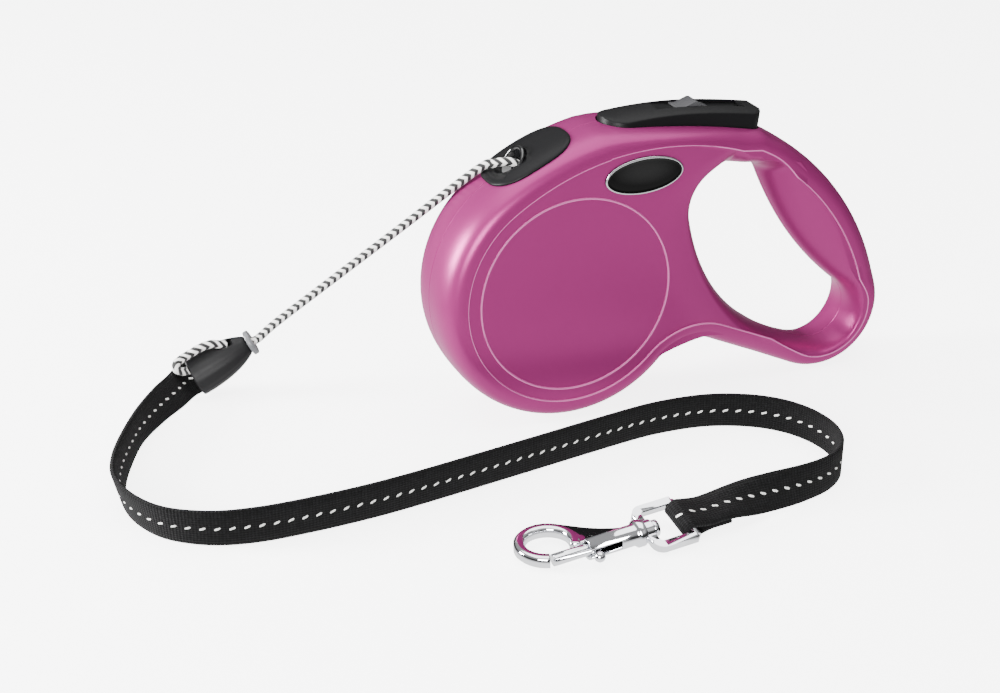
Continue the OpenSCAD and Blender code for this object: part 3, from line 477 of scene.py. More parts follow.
def as_object(bm, name):
    """Makes a drawn mesh an object in metres, with its faces outwards."""
    bmesh.ops.recalc_face_normals(bm, faces=bm.faces)
    bmesh.ops.scale(bm, vec=(MM, MM, MM), verts=bm.verts)
    return linked(bm, name)


def swept(name, sections, closed=False):
    """An object drawn through its sections."""
    bm = bmesh.new()
    sweep(bm, sections, closed)
    return as_object(bm, name)


def placed(bm, name, place):
    """Makes a drawn mesh an object at its place."""
    bmesh.ops.transform(bm, matrix=place, verts=bm.verts)
    return as_object(bm, name)


def spun(name, profile, steps, place):
    """An object spun from a closed profile of (radius, height) points round Z, and then placed."""
    bm = bmesh.new()
    ring = draw_ring(bm, [Vector((r, 0, h)) for r, h in profile])
    spin(bm, ring, ring_edges(bm, ring), steps)
    bmesh.ops.remove_doubles(bm, verts=bm.verts, dist=MERGE)
    return placed(bm, name, place)


def facing(place, way):
    """A frame at a place, with its Z along a way."""
    return Matrix.Translation(place) @ way.to_track_quat("Z", "Y").to_matrix().to_4x4()


def settle(made):
    """Applies an object's modifiers to its mesh."""
    bpy.context.view_layer.update()
    seen = made.evaluated_get(bpy.context.evaluated_depsgraph_get())
    mesh = bpy.data.meshes.new_from_object(seen)
    mesh.name = made.name
    made.modifiers.clear()
    made.data = mesh


NUDGES = (0, 0.011, -0.017, 0.023, -0.031, 0.043)


def measure(mesh):
    """A mesh's volume, and whether it is closed."""
    bm = bmesh.new()
    bm.from_mesh(mesh)
    found = bm.calc_volume(signed=True)
    closed = all(len(e.link_faces) == 2 for e in bm.edges)
    bm.free()
    return found, closed


def cut(made, cutter, operation="DIFFERENCE"):
    """Cuts a drawn shape out of an object, or adds it; a cut that tears is tried again a hair away."""
    whole = made.data
    volume = measure(whole)[0]
    added = measure(cutter.data)[0]
    least, most = (volume - added, volume) if operation == "DIFFERENCE" else (volume, volume + added)
    slack = 1e-4 * volume
    best = None
    for nudge in NUDGES:
        cutter.location = nudge * MM * Vector((1, 0.7, 0.9))
        made.data = whole
        work = made.modifiers.new("cut", "BOOLEAN")
        work.operation = operation
        work.solver = "FAST" if nudge else "EXACT"
        work.object = cutter
        settle(made)
        left, closed = measure(made.data)
        if least - slack < left < most + slack:
            best = made.data if closed else best or made.data
        if best and closed:
            break
    if not best:
        raise RuntimeError(f"{made.name} can't be cut cleanly")
    made.data = best
    bpy.data.objects.remove(cutter)


def paint(made, *finish_names):
    """Gives a mesh its finishes, and keeps which face has which."""
    kept = [f.material_index for f in made.data.polygons]
    made.data.materials.clear()
    for name in finish_names:
        made.data.materials.append(finish(name))
    for face, index in zip(made.data.polygons, kept):
        face.material_index = min(index, len(finish_names) - 1)


def mark(bm, rings):
    """Gives the faces between a few rings the second finish."""
    within = {v for ring in rings for v in ring}
    for face in bm.faces:
        if all(v in within for v in face.verts):
            face.material_index = 1


def dress(made, finish_names, body, slot, *nodes, sharp=40):
    """Shades a piece, gives it its finishes, and makes it ride and stand for its solids."""
    paint(made, *finish_names.split())
    made.data.shade_smooth()
    made.data.set_sharp_from_angle(angle=math.radians(sharp))
    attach(made, body)
    if nodes:
        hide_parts(*nodes)
    return made


def copy_of(node_name, name):
    """Copies a solid's mesh and merges its loose triangles."""
    bm = bmesh.new()
    bm.from_mesh(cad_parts[node_name].data)
    bmesh.ops.remove_doubles(bm, verts=bm.verts, dist=2e-6)
    return linked(bm, name)


def spline(points, steps):
    """A smooth curve through points of any size, with a number of steps between each two."""
    found = []
    last = len(points) - 1
    for i in range(last):
        a, b, c, d = [points[max(0, min(last, k))] for k in (i - 1, i, i + 1, i + 2)]
        for k in range(steps):
            t = k / steps
            square = (2 * a - 5 * b + 4 * c - d) * t ** 2
            cube = (3 * b - a - 3 * c + d) * t ** 3
            found.append(0.5 * (2 * b + (c - a) * t + square + cube))
    return found + [points[-1]]


def ways(points):
    """The direction of a curve at each of its points."""
    last = len(points) - 1
    return [(points[min(last, i + 1)] - points[max(0, i - 1)]).normalized() for i in range(last + 1)]


def runs(points):
    """The length of a curve up to each of its points."""
    found = [0.0]
    for a, b in zip(points, points[1:]):
        found.append(found[-1] + (b - a).length)
    return found


def braided_tube(name, points, width, sides=20):
    """A round cord along a curve, with its length and turn as UV."""
    bm = bmesh.new()
    side = CORD_SIDE
    sections = []
    for p, way in zip(points, ways(points)):
        across = (side - side.dot(way) * way).normalized()
        side = across
        up = way.cross(across)
        turns = [math.tau * k / sides for k in range(sides)]
        sections.append([p + width / 2 * (math.cos(a) * across + math.sin(a) * up) for a in turns])
    rings = sweep(bm, sections)
    unroll(bm, rings, runs(points), [k / sides for k in range(sides + 1)])
    return as_object(bm, name)


# Places and routes of the leash, as the solids have them; the strap's have the way of its width too


AXIS = Vector((-38.25, 0, 46))
EYELET = Vector((-54.644, 0, 88.912))
EYELET_WAY = Vector((-0.866, 0, 0.5))
BULLET_BASE = Vector((-152.6, 49.2, 6.6))
BULLET_LENGTH = 21.5
BULLET_WIDTH = 14.7
BULLET_DEPTH = 11
NOSE_WAY = Vector((0.872, -0.117, 0.476)).normalized()
BULLET_SIDE = NOSE_WAY.cross(Vector((-0.3, 0.53, 0.79))).normalized()
BULLET_WIDE = BULLET_SIDE.cross(NOSE_WAY)
SNAP_BAR = Vector((-37.5, -95.3, 4.9))
SNAP_TURN = Euler([math.radians(a) for a in (15, -2.2, 6)]).to_matrix()
EYE_BAR = 1.4
LOOSE = 0.3
CORD_FROM_EYELET = [
    (23.6, 0, -9.4), (18.6, 0, -8), (8.6, 0, -4.6), (3, 0, -1.6), (-1.4, 0.6, 0.4), (-6, 3.2, -0.5),
]
CORD_HANGING = [(-65.5, 6.2, 85.6), (-88, 20.1, 62.6), (-110.5, 34, 39.7), (-124.7, 42.7, 25.2)]
CORD_PAST_NOSE = (4.6, 2.2, -3)
CORD_SIDE = Vector((0.31, 0.17, 0.93))
LOOP_POINTS = [
    (3.7, 2.2, 15.2), (5, 3.4, 13.2), (6.3, 4.5, 11.2), (7, 5, 8), (7.1, 5.1, 4.5), (7.1, 5.1, 1),
    (6.7, 6.2, -1.5), (5.7, 7.1, -2.7), (4.4, 6.9, -2.9), (3.4, 5.3, -2.2), (2.8, 3.3, -1), (2.5, 2.15, 0.7),
    (2.3, 2, 3), (2.2, 2, 5.5),
]
STRAP_LEANING = [
    (-156.4, 48, 5.6, -0.33, 0.52, 0.79), (-161.6, 41, 6.1, -0.28, 0.36, 0.89),
    (-169, 33, 6.1, -0.2, 0.2, 0.96), (-178.5, 20, 6.1, -0.1, 0.04, 1), (-186.5, 4, 6.1, -0.18, 0, 0.98),
    (-191, -8, 6.1, -0.24, -0.02, 0.97), (-193, -19, 6.1, -0.24, -0.06, 0.97),
    (-191, -31.5, 6.1, -0.18, -0.1, 0.98), (-184.5, -43, 6.1, -0.1, -0.1, 1), (-173, -50.8, 6.1, 0, -0.06, 1),
]
STRAP_ON_EDGE = [
    (-160, -54), (-144.5, -54.4), (-125, -53.2), (-106, -50.6), (-69.5, -44), (-30.5, -36.8), (-15.5, -35),
    (-1.5, -35.6), (9, -38.5), (18.5, -43.8), (25.5, -51.2), (29.6, -60.5), (30.2, -71), (26, -81.3),
]
STRAP_TO_SNAP = [
    (17.5, -88, 6.1, 0, 0.08, 1), (6.5, -91.1, 6.2, 0, 0.22, 0.97), (-5, -92.2, 6.2, -0.04, 0.5, 0.87),
    (-14, -93, 6.3, -0.07, 0.78, 0.62),
]
STRAP_Z = 6.1
STRAP_IN_BULLET = (5, 0)
STRAP_IN_OFF = -0.3
STRAP_TWIST_END = 16
STRAP_SEWN = (11, 6.5)
STRAP_TAIL = (6.5, 11, 14)
PLY_GAP = 0.1
FOLD_TURNS = range(60, 301, 30)


def on_bullet(x, y, z):
    """A point in the bullet connector's own frame: across its width, its depth and along its nose."""
    return BULLET_BASE + x * BULLET_WIDE + y * BULLET_SIDE + z * NOSE_WAY


def on_snap(x, y, z):
    """A point in the swivel eye's own frame: from its bar towards the strap, along the bar and up."""
    return SNAP_BAR + SNAP_TURN @ Vector((x, y, z))


def strap_route(depth):
    """The strap's middle line and the way of its width, round the eye's bar and back on itself."""
    ply = depth / 2 + PLY_GAP
    fold = EYE_BAR + LOOSE + depth / 2
    wide = SNAP_TURN @ Vector((0, 1, 0))
    route = [(on_bullet(0, STRAP_IN_OFF, z), BULLET_WIDE) for z in STRAP_IN_BULLET]
    route += [(Vector(p[:3]), Vector(p[3:])) for p in STRAP_LEANING]
    route += [(Vector((x, y, STRAP_Z)), Vector((0, 0, 1))) for x, y in STRAP_ON_EDGE]
    route += [(Vector(p[:3]), Vector(p[3:])) for p in STRAP_TO_SNAP]
    route.append((on_snap(STRAP_TWIST_END, 0, ply + PLY_GAP), wide + Vector((0, 0, 0.1))))
    route += [(on_snap(x, 0, ply), wide) for x in STRAP_SEWN]
    for turn in FOLD_TURNS:
        a = math.radians(turn)
        route.append((on_snap(fold * math.cos(a), 0, fold * math.sin(a)), wide))
    route += [(on_snap(x, 0, -ply), wide) for x in STRAP_TAIL]
    return spline([p for p, w in route], 5), spline([w for p, w in route], 5)


# The housing's outline


def polar(degrees):
    """A unit vector in the housing's plane."""
    return Vector((math.cos(math.radians(degrees)), 0, math.sin(math.radians(degrees))))


def angle_of(v):
    """The angle of a vector in the housing's plane, in degrees."""
    return math.degrees(math.atan2(v.z, v.x))


def meet(c1, d1, c2, d2, side):
    """Where two circles meet, on one side of the line between them."""
    v = c2 - c1
    u = v.normalized()
    a = (d1 * d1 - d2 * d2 + v.length_squared) / (2 * v.length)
    return c1 + a * u + side * math.sqrt(d1 * d1 - a * a) * Vector((-u.z, 0, u.x))


def ease(t):
    """A smooth step from 0 to 1."""
    u = max(0, min(1, t))
    return u * u * (3 - 2 * u)


class Outline:
    """A closed outline: one vertex spun round circles and slid along lines, with its normals."""

    def __init__(self, start, finer):
        self.bm = bmesh.new()
        self.tip = self.bm.verts.new(start)
        self.chain = [self.tip]
        self.normals = []
        self.finer = finer

    def move(self, steps, **how):
        """Spins the last vertex on, and keeps the new ones in their order."""
        made = bmesh.ops.spin(self.bm, geom=[self.tip], steps=steps, **how)
        fresh = [v for v in self.bm.verts if v.is_valid][len(self.chain):]
        self.chain += fresh
        self.tip = next(v for v in made["geom_last"] if isinstance(v, bmesh.types.BMVert))

    def arc(self, centre, first, last, steps, side=1):
        """Goes round a circle between two angles in degrees."""
        n = steps * self.finer
        for k in range(n):
            self.normals.append(side * polar(first + (last - first) * k / n))
        self.move(n, cent=centre, axis=(0, -1, 0), angle=math.radians(last - first))

    def line(self, end, steps):
        """Goes along a straight line to its end."""
        n = steps * self.finer
        way = (end - self.tip.co).normalized()
        self.normals += [Vector((way.z, 0, -way.x))] * n
        self.move(n, dvec=(end - self.tip.co) / n, angle=0)

    def lift_to(self, place):
        """Moves the last vertex to a place, and the few before it part of the way."""
        shift = place - self.tip.co
        for k in range(self.finer):
            self.chain[-1 - k].co += shift * (1 - k / self.finer)

    def points(self):
        """The outline's points, without the last one, which meets the first."""
        found = [v.co.copy() for v in self.chain[:-1]]
        self.bm.free()
        return found


class HousingPlan:
    """The circles of the housing, in millimetres from the drum axis, and the sections of its skin."""

    neck = 10
    thumb_offset = Vector((10, 0, 3.5))
    palm_offset = Vector((2.5, 0, -4))
    corner_r = 12.5
    thumb_r = 8
    palm_r = 12
    throat_r = 75
    grip_r = 120
    strut_r = 17
    strut_angle = 43
    seat_front = 9
    seat_rear = 69
    seat_lift = 0.6
    seat_r = 400
    seam = 0.15
    lip = 4.5
    grip_flare = 15
    edge_power = 2.9
    least_rim = 1.5
    rim_share = 0.46
    least_flat = 2.6
    grip_way = 42
    grip_lean = 28
    seat_cosine = 0.995
    bead = 0.12
    bead_rows = (0.1, 0.35)
    bead_end = 0.55
    rim_turns = range(6, 91, 7)
    lip_turns = range(90, 5, -9)
    flat_shares = (0, 0.15, 0.35, 0.6, 0.85)
    step_from = 12
    step_over = 10
    corner_z = 23
    thin_before = 15
    thin_after = 3.5
    finer = 3

    def __init__(self, s):
        self.drum_r = s.drum_radius / MM
        self.handle_r = s.handle_radius / MM
        self.crown_r = s.crown_radius / MM
        self.depth = s.body_depth / MM
        self.handle_depth = s.handle_depth / MM
        self.edge = s.edge_reach / MM
        self.step = s.panel_step / MM
        self.ring_r = s.ring_radius / MM
        self.drum_c = Vector((0, 0, 0))
        self.handle_c = Vector((s.handle_reach / MM, 0, self.handle_r - self.drum_r))
        to_drum = self.crown_r - self.drum_r
        self.crown_c = meet(self.drum_c, to_drum, self.handle_c, self.crown_r - self.handle_r, -1)
        self.seat_a0 = math.degrees(math.acos((self.seat_rear - self.crown_c.x) / self.crown_r))
        self.seat_a1 = math.degrees(math.acos((self.seat_front - self.crown_c.x) / self.crown_r))
        self.seat_p0 = self.crown_c + (self.crown_r + self.seat_lift) * polar(self.seat_a1)
        self.seat_p1 = self.crown_c + (self.crown_r + self.seat_lift) * polar(self.seat_a0)
        self.seat_tilt = angle_of(self.seat_p1 - self.seat_p0)
        self.outer, self.outer_n = self.draw_outer()
        self.hole, self.hole_n = self.draw_hole()

    def draw_outer(self):
        """Goes round the outline: handle end, crown, seat, crown, drum and strut."""
        strut_c = (self.drum_r + self.strut_r) * polar(-self.strut_angle)
        v = self.handle_c - strut_c
        strut_turn = angle_of(v) - math.degrees(math.acos((-self.strut_r - self.handle_r) / v.length))
        crown_start = angle_of(self.handle_c - self.crown_c)
        crown_end = angle_of(self.drum_c - self.crown_c)
        start = self.handle_c + self.handle_r * polar(strut_turn)
        path = Outline(start, self.finer)
        path.arc(self.handle_c, strut_turn, -90, 2)
        path.arc(self.handle_c, -90, 0, 8)
        path.arc(self.handle_c, 0, crown_start, 2)
        path.arc(self.crown_c, crown_start, self.seat_a0, 16)
        path.lift_to(self.seat_p1)
        up = polar(self.seat_tilt + 90)
        half = (self.seat_p1 - self.seat_p0).length / 2
        bow_c = (self.seat_p0 + self.seat_p1) / 2 - math.sqrt(self.seat_r ** 2 - half ** 2) * up
        path.arc(bow_c, angle_of(self.seat_p1 - bow_c), angle_of(self.seat_p0 - bow_c), 10)
        path.lift_to(self.crown_c + self.crown_r * polar(self.seat_a1))
        path.arc(self.crown_c, self.seat_a1, crown_end, 6)
        path.arc(self.drum_c, crown_end, 180, 6)
        path.arc(self.drum_c, 180, 270, 10)
        path.arc(self.drum_c, 270, 360 - self.strut_angle, 6)
        path.arc(strut_c, 180 - self.strut_angle, strut_turn + 180, 6, -1)
        path.line(start, 6)
        return path.points(), path.normals

    def draw_hole(self):
        """Goes round the hand hole: lower end, grip, thumb corner, upper corner and drum side."""
        corner_c = Vector((self.drum_r + self.neck, 0, self.corner_z))
        thumb_c = corner_c + self.thumb_offset
        palm_c = self.handle_c + self.palm_offset
        throat_c = meet(corner_c, self.throat_r - self.corner_r, palm_c, self.throat_r - self.palm_r, 1)
        grip_c = meet(thumb_c, self.grip_r + self.thumb_r, palm_c, self.grip_r + self.palm_r, 1)
        top_v = corner_c - thumb_c
        top_lean = math.degrees(math.acos((self.thumb_r - self.corner_r) / top_v.length))
        top_turn = angle_of(top_v) - top_lean + 360
        throat_start = angle_of(corner_c - throat_c) + 360
        throat_end = angle_of(palm_c - throat_c) + 360
        palm_end = angle_of(grip_c - palm_c)
        thumb_start = angle_of(grip_c - thumb_c)
        path = Outline(palm_c + self.palm_r * polar(throat_end), self.finer)
        path.arc(palm_c, throat_end - 360, palm_end, 12)
        path.arc(grip_c, palm_end + 180, thumb_start + 180, 10, -1)
        path.arc(thumb_c, thumb_start, top_turn, 6)
        path.line(corner_c + self.corner_r * polar(top_turn), 3)
        path.arc(corner_c, top_turn, throat_start, 21)
        path.arc(throat_c, throat_start, throat_end, 26)
        return path.points(), path.normals

    def half(self, x):
        """Half of the thickness, which thins towards the handle."""
        start = self.drum_r - self.thin_before
        end = self.handle_c.x + self.thin_after
        return (self.depth + (self.handle_depth - self.depth) * ease((x - start) / (end - start))) / 2

    def section(self, i):
        """One station's section, from the outline's seam over the near side to the hole's seam."""
        o, on, h, hn = self.outer[i], self.outer_n[i], self.hole[i], self.hole_n[i]
        span = (o - h).length
        on_seat = on.dot(polar(self.seat_tilt + 90)) > self.seat_cosine
        drop = self.crown_r - (o - self.crown_c).length if on_seat else 0
        rim = max(self.least_rim, min(self.edge - drop, self.rim_share * span))
        grip = max(0, hn.dot(polar(self.grip_way))) ** 3
        flare = min(self.lip + (self.grip_flare - self.lip) * grip, span - rim - self.least_flat)
        turn = (90 - self.grip_lean * grip) / 90
        step = self.step * ease((span - self.step_from) / self.step_over)
        found = [(o - self.seam * on, 0), (o, self.seam)]
        for t in self.rim_turns:
            share = 1 - math.cos(math.radians(t)) ** (2 / self.edge_power)
            p = o - rim * share * on
            found.append((p, self.half(p.x) * math.sin(math.radians(t)) ** (2 / self.edge_power)))
        for out in self.bead_rows:
            a = o - (rim + out) * on
            found.append((a, self.half(a.x) + self.bead * step / self.step))
        a = o - (rim + self.bead_end) * on
        b = h + flare * hn
        for t in self.flat_shares:
            p = a.lerp(b, t)
            found.append((p, self.half(p.x) - step))
        for t in self.lip_turns:
            c = math.radians(t * turn)
            full = math.radians(90 * turn)
            p = h + flare * (1 - math.cos(c)) / (1 - math.cos(full)) * hn
            found.append((p, (self.half(p.x) - step) * math.sin(c) / math.sin(full)))
        found += [(h, self.seam), (h + self.seam * hn, 0)]
        return [Vector((p.x, -y, p.z)) for p, y in found]

    def on_seat(self):
        """The brake seat's frame: along it, across the housing and up from it."""
        return Matrix.Translation(self.seat_p0) @ Matrix.Rotation(math.radians(-self.seat_tilt), 4, "Y")


def near_flat(plan):
    """The place of the near side's flat, across the housing."""
    return plan.step - plan.depth / 2


ALONG_Y = Matrix.Rotation(math.radians(90), 4, "X")
BADGE_X = 22.8
BADGE_Z = 39.11
BADGE_TILT = 3


def badge_place(plan):
    """The badge's frame on the near side: along it, up it and out of the housing."""
    at = AXIS + Vector((BADGE_X, near_flat(plan), BADGE_Z))
    return Matrix.Translation(at) @ ALONG_Y @ Matrix.Rotation(math.radians(BADGE_TILT), 4, "Z")


BUTTON_FRONT = 4.5
BUTTON_REAR_ROUND = 4
BUTTON_LEAST_ROUND = 1.2
FRONT_STEPS = 37
REAR_STEPS = 12
BUTTON_CREST = 42


def button_plan(s, grow, sides=24):
    """The brake button's outline from above, grown by a margin: round at the front, square at the rear."""
    half = s.button_width / MM / 2 + grow
    front = BUTTON_FRONT - grow
    rear = BUTTON_FRONT + s.button_length / MM + grow
    r = min(half, max(BUTTON_LEAST_ROUND, BUTTON_REAR_ROUND + grow))
    first, last = front + half, rear - r
    along = [first + (last - first) * k / sides for k in range(1, sides)]
    found = []
    for k in range(FRONT_STEPS + 1):
        a = math.radians(90 + 180 * k / FRONT_STEPS)
        found.append((front + half + half * math.cos(a), half * math.sin(a)))
    found += [(t, -half) for t in along]
    for side in (-1, 1):
        for k in range(REAR_STEPS + 1):
            a = math.radians(90 / REAR_STEPS * k - 45 + 45 * side)
            found.append((rear - r + r * math.cos(a), side * (half - r) + r * math.sin(a)))
    return found + [(t, half) for t in reversed(along)]


def box_cutter(size, place):
    """A box to cut with, drawn round its own middle and then placed."""
    bm = bmesh.new()
    bmesh.ops.create_cube(bm, size=1)
    bmesh.ops.scale(bm, vec=size, verts=bm.verts)
    return placed(bm, "cutter", place)


def round_cutter(radius, depth, place, sides=48):
    """A cylinder to cut with, drawn along Z round its own middle and then placed."""
    bm = bmesh.new()
    bmesh.ops.create_cone(bm, cap_ends=True, segments=sides, radius1=radius, radius2=radius, depth=depth)
    bmesh.ops.rotate(bm, matrix=Matrix.Rotation(math.pi / sides, 3, "Z"), verts=bm.verts)
    return placed(bm, "cutter", place)


def ball_cutter(radius, place):
    """A ball to cut with, turned so that no corner lies where the halves meet."""
    bm = bmesh.new()
    bmesh.ops.create_uvsphere(bm, u_segments=48, v_segments=24, radius=radius)
    askew = Euler((0.3, 0.2, 0.1)).to_matrix().to_4x4()
    return placed(bm, "cutter", Matrix.Translation(place) @ askew)


def plan_cutter(outline, low, high, place):
    """A prism to cut with: a flat outline drawn from a low to a high level, and then placed."""
    return swept("cutter", [[place @ Vector((x, y, z)) for x, y in outline] for z in (low, high)])


SCREWS = [
    Vector((6.92, 0, 45.46)), Vector((50, 0, -17)), Vector((78.24, 0, 33.73)), Vector((92.3, 0, 19.7)),
]
RECESS_R = 2.8
RECESS_DEPTH = 4.8
BEZEL_ANGLE = 116.194
BEZEL_POWER = 2.8
PLUG_SHARE = 0.84
PLUG_ROOM = 0.2
OUTLET_R = 7.2
OUTLET_BACK = 5
BUTTON_ROOM = 0.5
DRUM_WALL = 2.8
SIDE_WALL = 2.4
ROOM_STEP = 6
ROOM_TAPER = 4.7
BOSS_R = 7
BOSS_FOOT = 8.1
BOSS_BORE = 6
HUB_R = 6.2
HUB_DEPTH = 16.2
TONGUE_AT = Vector((12, 6.4, -11.85))
TONGUE_ROOM = (5.4, 4, 13.7)
SPRING_MIDDLE = Vector((41.14, 0, 41.9))
SPRING_R = 3.15
SPRING_DEPTH = 6.2
# The rows of the raised bead round the flat side, which get the paler pink of a painted highlight
PAINTED_HIGHLIGHT_ROWS = slice(15, 18)


def bezel_frame(plan):
    """The outlet bezel's frame on the crown."""
    at = AXIS + plan.crown_c + plan.crown_r * polar(BEZEL_ANGLE)
    return Matrix.Translation(at) @ Matrix.Rotation(math.radians(90 - BEZEL_ANGLE), 4, "Y")


def bezel_plan(s, share, grow):
    """The outlet bezel's squarish oval from above, as a share of its size and grown by a margin."""
    half_l, half_w = [share * size / MM / 2 + grow for size in (s.bezel_length, s.bezel_width)]
    found = []
    for k in range(96):
        a = math.tau * (k + 0.5) / 96
        x, y = [math.copysign(abs(c) ** (2 / BEZEL_POWER), c) for c in (math.cos(a), math.sin(a))]
        found.append((half_l * x, half_w * y))
    return found


def lying(place, side):
    """A frame that has its Z across the housing, out of one side."""
    return Matrix.Translation(place) @ Matrix.Rotation(side * math.radians(-90), 4, "X")


def half_shell(plan, s, name, side):
    """One moulded half: its skin drawn row by row round the outline, with the openings cut."""
    bm = bmesh.new()
    stations = [plan.section(i) for i in range(len(plan.outer))]
    rows = [[p[k] + AXIS for p in stations] for k in range(len(stations[0]))]
    rings = sweep(bm, rows, closed=True)
    # The faces of the bead rows get the second, paler pink: a painted highlight along the raised panel line
    mark(bm, rings[PAINTED_HIGHLIGHT_ROWS])
    if side > 0:
        bmesh.ops.scale(bm, vec=(1, -1, 1), verts=bm.verts)
    made = as_object(bm, name)
    paint(made, "pearl", "crest")
    if side > 0:
        # The screw at the strut has no recess, because the cut tears the skin there
        for p in (SCREWS[0], *SCREWS[2:]):
            out = Vector((0, plan.half(p.x) - plan.step, 0))
            cut(made, round_cutter(RECESS_R, RECESS_DEPTH, Matrix.Translation(AXIS + p + out) @ ALONG_Y))
    seat = Matrix.Translation(AXIS) @ plan.on_seat()
    cut(made, plan_cutter(button_plan(s, BUTTON_ROOM), -10, 10, seat))
    cut(made, plan_cutter(bezel_plan(s, PLUG_SHARE, PLUG_ROOM), -11, 5, bezel_frame(plan)))
    cut(made, ball_cutter(OUTLET_R, EYELET - OUTLET_BACK * EYELET_WAY))
    room = plan.drum_r - DRUM_WALL
    deep = plan.depth / 2 - SIDE_WALL
    spool_room = [
        (BOSS_BORE, -1), (room, -1), (room, ROOM_STEP), (room - ROOM_TAPER, deep), (BOSS_R, deep),
        (BOSS_R, BOSS_FOOT), (BOSS_BORE, BOSS_FOOT),
    ]
    cut(made, spun("cutter", spool_room, 96, lying(AXIS, side)))
    cut(made, round_cutter(HUB_R, HUB_DEPTH, Matrix.Translation(AXIS) @ ALONG_Y))
    tongue = Matrix.Translation((TONGUE_AT.x, side * TONGUE_AT.y, TONGUE_AT.z))
    cut(made, box_cutter(TONGUE_ROOM, seat @ tongue))
    cut(made, round_cutter(SPRING_R, SPRING_DEPTH, Matrix.Translation(AXIS + SPRING_MIDDLE)))
    return made


def ring_bead(plan, side):
    """The moulded ring: a low bead spun round the drum axis."""
    r = plan.ring_r
    bead = [(r - 0.5, -0.3), (r - 0.25, 0.3), (r, 0.4), (r + 0.25, 0.3), (r + 0.5, -0.3)]
    made = spun("ring", bead, 160, lying(AXIS + Vector((0, side * -near_flat(plan), 0)), side))
    # The whole bead gets the paler pink of the second finish: a painted highlight along the ring
    for face in made.data.polygons:
        face.material_index = 1
    paint(made, "pearl", "crest")
    return made


def join(made, *others):
    """Joins other meshes into one piece."""
    with bpy.context.temp_override(active_object=made, selected_editable_objects=[made, *others]):
        bpy.ops.object.join()
    return made


# The stage: lamps and camera in metres, each lamp with its place, its size and its share of the key power


LAMPS = (
    ("key", (-0.75, -0.95, 0.4), (0.6, 0.5), 2.4),
    ("fill", (0.5, -1.1, 0.7), (0.9, 0.6), 0.05),
    ("top", (0.0, 0.1, 1.2), (1.6, 1.4), 2.2),
    ("rim", (-1.0, 0.36, 0.3), (0.3, 0.4), 3),
)
LAMP_AIM = Vector((-0.03, -0.02, 0.04))
# A band of the sky: the two heights that it grows between, and its shares of the sky's strength there
SKY_OVER = (0.1, 0.5, 0.2, 2)
SKY_UNDER = (-0.1, -0.5, 0, 9)
FLOOR_REACH = 4000
FLOOR_LEVEL = -0.02
CAMERA_PLACE = (-0.2763, -0.5250, 0.2938)
CAMERA_RIGHT = Vector((0.9258, -0.3778, 0.0110))
CAMERA_FORWARD = Vector((0.3457, 0.8346, -0.4289)).normalized()


def lay_floor(s):
    """Matte white paper, lit from below; only the camera sees it, and the sky stands in for its light."""
    bm = bmesh.new()
    bmesh.ops.create_grid(bm, x_segments=8, y_segments=8, size=FLOOR_REACH)
    floor = placed(bm, "floor", Matrix.Translation((0, 0, FLOOR_LEVEL)))
    white = rgba(s.floor_white)
    glowing = {"Base Color": white, "Emission Color": white, "Emission Strength": s.floor_glow}
    floor.data.materials.append(finish_named("matte_paper", {"Roughness": 0.9, **glowing})[0])
    floor.visible_diffuse = False
    floor.visible_glossy = False
    floor.visible_shadow = False


def light_sky(s, scene):
    """A white sky that glows from above and, more strongly, from below."""
    scene.world = bpy.data.worlds.new("studio")
    scene.world.use_nodes = True
    sky = scene.world.node_tree
    height = node(sky, "SeparateXYZ", {0: node(sky, "TexCoord")["Generated"]})["Z"]
    bands = []
    for first, last, low, high in (SKY_OVER, SKY_UNDER):
        span = {"Value": height, "From Min": first, "From Max": last}
        power = {"To Min": low * s.sky_power, "To Max": high * s.sky_power}
        bands.append(node(sky, "MapRange", {**span, **power})[0])
    glow = node(sky, "Math", {0: bands[0], 1: bands[1]}, operation="MAXIMUM")[0]
    wire(sky, sky.nodes["Background"], {"Color": (1, 1, 1, 1), "Strength": glow})


def hang_lamps(s, scene):
    """Soft lamps round the pieces, which the camera doesn't see."""
    for name, place, size, share in LAMPS:
        lamp = bpy.data.lights.new(name, "AREA")
        lamp.shape = "RECTANGLE"
        lamp.size, lamp.size_y = size
        lamp.energy = share * s.key_power
        holder = bpy.data.objects.new(name, lamp)
        holder.location = place
        holder.visible_camera = False
        holder.rotation_euler = (LAMP_AIM - Vector(place)).to_track_quat("-Z", "Y").to_euler()
        scene.collection.objects.link(holder)


def set_camera(s, scene):
    """The camera, at its place and with its angle of view."""
    lens = bpy.data.cameras.new("camera")
    lens.sensor_width = 36
    lens.lens = lens.sensor_width / 2 / math.tan(s.field / 2)
    lens.clip_start = 0.01
    lens.clip_end = 20
    scene.camera = bpy.data.objects.new("camera", lens)
    up = CAMERA_RIGHT.cross(CAMERA_FORWARD).normalized()
    right = CAMERA_FORWARD.cross(up)
    turn = Matrix((right, up, -CAMERA_FORWARD)).transposed().to_4x4()
    scene.camera.matrix_world = Matrix.Translation(CAMERA_PLACE) @ turn
    scene.collection.objects.link(scene.camera)


class LEASH_OT_stage(bpy.types.Operator):
    """Sets the pale floor, the soft light and the camera"""

    bl_idname = "leash.stage"
    bl_label = "Floor, light and camera"

    def execute(self, context):
        s = context.scene.leash_project.stage
        lay_floor(s)
        light_sky(s, context.scene)
        hang_lamps(s, context.scene)
        set_camera(s, context.scene)
        return {"FINISHED"}


